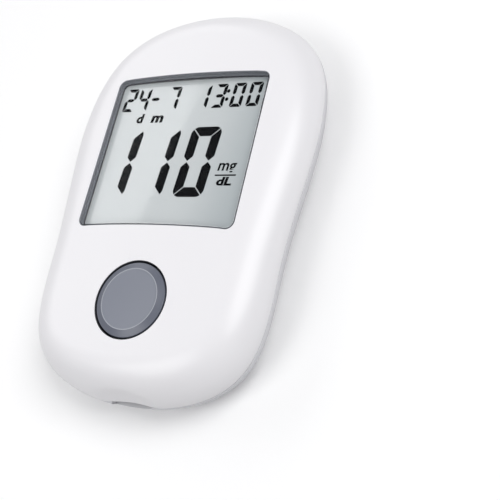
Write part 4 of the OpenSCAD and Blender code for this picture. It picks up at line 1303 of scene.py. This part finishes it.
# %% World
WORLD_LIGHT = 0.3
world = bpy.data.worlds.new("studio")
bpy.context.scene.world = world
world.use_nodes = True
sky = world.node_tree.nodes["Background"]
ray = add_node(world, "ShaderNodeLightPath")
looked_at = add_node(world, "ShaderNodeMath",
                     {0: ray.outputs["Is Camera Ray"], 1: ray.outputs["Is Transmission Ray"]},
                     operation="MAXIMUM")
level = add_node(world, "ShaderNodeMapRange", {"Value": looked_at.outputs[0]},
                 {"To Min": WORLD_LIGHT, "To Max": 1.0})
world.node_tree.links.new(level.outputs[0], sky.inputs["Strength"])
sky.inputs["Color"].default_value = linear("#FCFCFF")

# %% [markdown]
# Four soft lamps do the rest. Three square ones hang high up: on the right, beyond the
# lower left end and beyond the upper right end, so every rounding gets light. The fourth
# is a wide card on the left, whose upper edge is what the display mirrors as a slanting
# line. A flat mirror shows what the camera would see from its own mirror image, so a
# line from there through a point of the slanting line ends on the card's edge.

# %% Where the window's slanting line comes from
CAMERA_PLACE = Vector((100.32, -67.23, 146.12))
GLARE_TOP, GLARE_FOOT, CARD_REACH = Vector((3.03, 27.26, 12.5)), Vector((-5.01, -8.00, 12.5)), 3.7


def card_line():
    """The middle and the direction of the card's edge, which is CARD_REACH times as far
    from the mirrored camera as the display is."""
    mirrored = Vector((CAMERA_PLACE.x, CAMERA_PLACE.y, 2 * FILM_Z - CAMERA_PLACE.z))
    ends = [mirrored + (p - mirrored) * CARD_REACH for p in (GLARE_TOP, GLARE_FOOT)]
    return (ends[0] + ends[1]) / 2, (ends[1] - ends[0]).normalized()


# %% [markdown]
# A lamp's power follows from how bright its face should look, its area, and pi.

# %% Lamps
def direction(azimuth, elevation):
    a, e = math.radians(azimuth), math.radians(elevation)
    return Vector((math.cos(e) * math.cos(a), math.cos(e) * math.sin(a), math.sin(e)))


def soft_lamp(name, place, back, across, size, brightness):
    """A lamp at place, in millimetres. back points away from the meter, across is its X axis."""
    data = bpy.data.lights.new(name, "AREA")
    data.shape, data.size, data.size_y = "RECTANGLE", size[0] * MM, size[1] * MM
    data.energy = brightness * math.pi * data.size * data.size_y
    lamp = bpy.data.objects.new(name, data)
    bpy.context.scene.collection.objects.link(lamp)
    back = Vector(back).normalized()
    side = (Vector(across) - Vector(across).dot(back) * back).normalized()
    turn = Matrix((side, back.cross(side), back)).transposed()
    lamp.matrix_world = Matrix.Translation(Vector(place) * MM) @ turn.to_4x4()
    print("  %s: %.2f W" % (name, data.energy))


LAMP_DISTANCE, CARD_SIZE = 520, (640, 250)
for name, azimuth, elevation, width, brightness in (("right_softbox", 20, 50, 300, 4.5),
                                                    ("near_softbox", 240, 55, 300, 2.8),
                                                    ("far_softbox", 60, 60, 250, 0.5)):
    spot = direction(azimuth, elevation) * LAMP_DISTANCE
    soft_lamp(name, spot, spot, (1, 1, 0), (width, width), brightness)
card_edge, card_along = card_line()
card_up = card_edge.cross(card_along).normalized()
soft_lamp("left_card", card_edge - card_up * CARD_SIZE[1] / 2, card_edge, card_along, CARD_SIZE, 1.3)

# %% [markdown]
# The camera stands above the meter's right-hand side and is rolled, so the meter leans
# in the frame. Its place, aim and roll were fitted to the outline in the photograph.

# %% Camera
SENSOR, FOCAL_PIXELS, FRAME_PIXELS = 36, 907.2, 500
camera_data = bpy.data.cameras.new("camera")
camera_data.sensor_width = SENSOR
camera_data.lens = FOCAL_PIXELS / FRAME_PIXELS * SENSOR
camera = bpy.data.objects.new("camera", camera_data)
bpy.context.scene.collection.objects.link(camera)
CAMERA_AIM, CAMERA_ROLL = Vector((19.99, -11.41, 10.0)), math.radians(-47.34)
turn = (CAMERA_PLACE - CAMERA_AIM).to_track_quat("Z", "Y").to_matrix() @ Matrix.Rotation(CAMERA_ROLL, 3, "Z")
camera.matrix_world = Matrix.Translation(CAMERA_PLACE * MM) @ turn.to_4x4()
camera_data.clip_start, camera_data.clip_end = 0.01, 10
bpy.context.scene.camera = camera
bpy.context.scene.view_settings.view_transform = "Standard"
print("Lens: %.1f mm" % camera_data.lens)
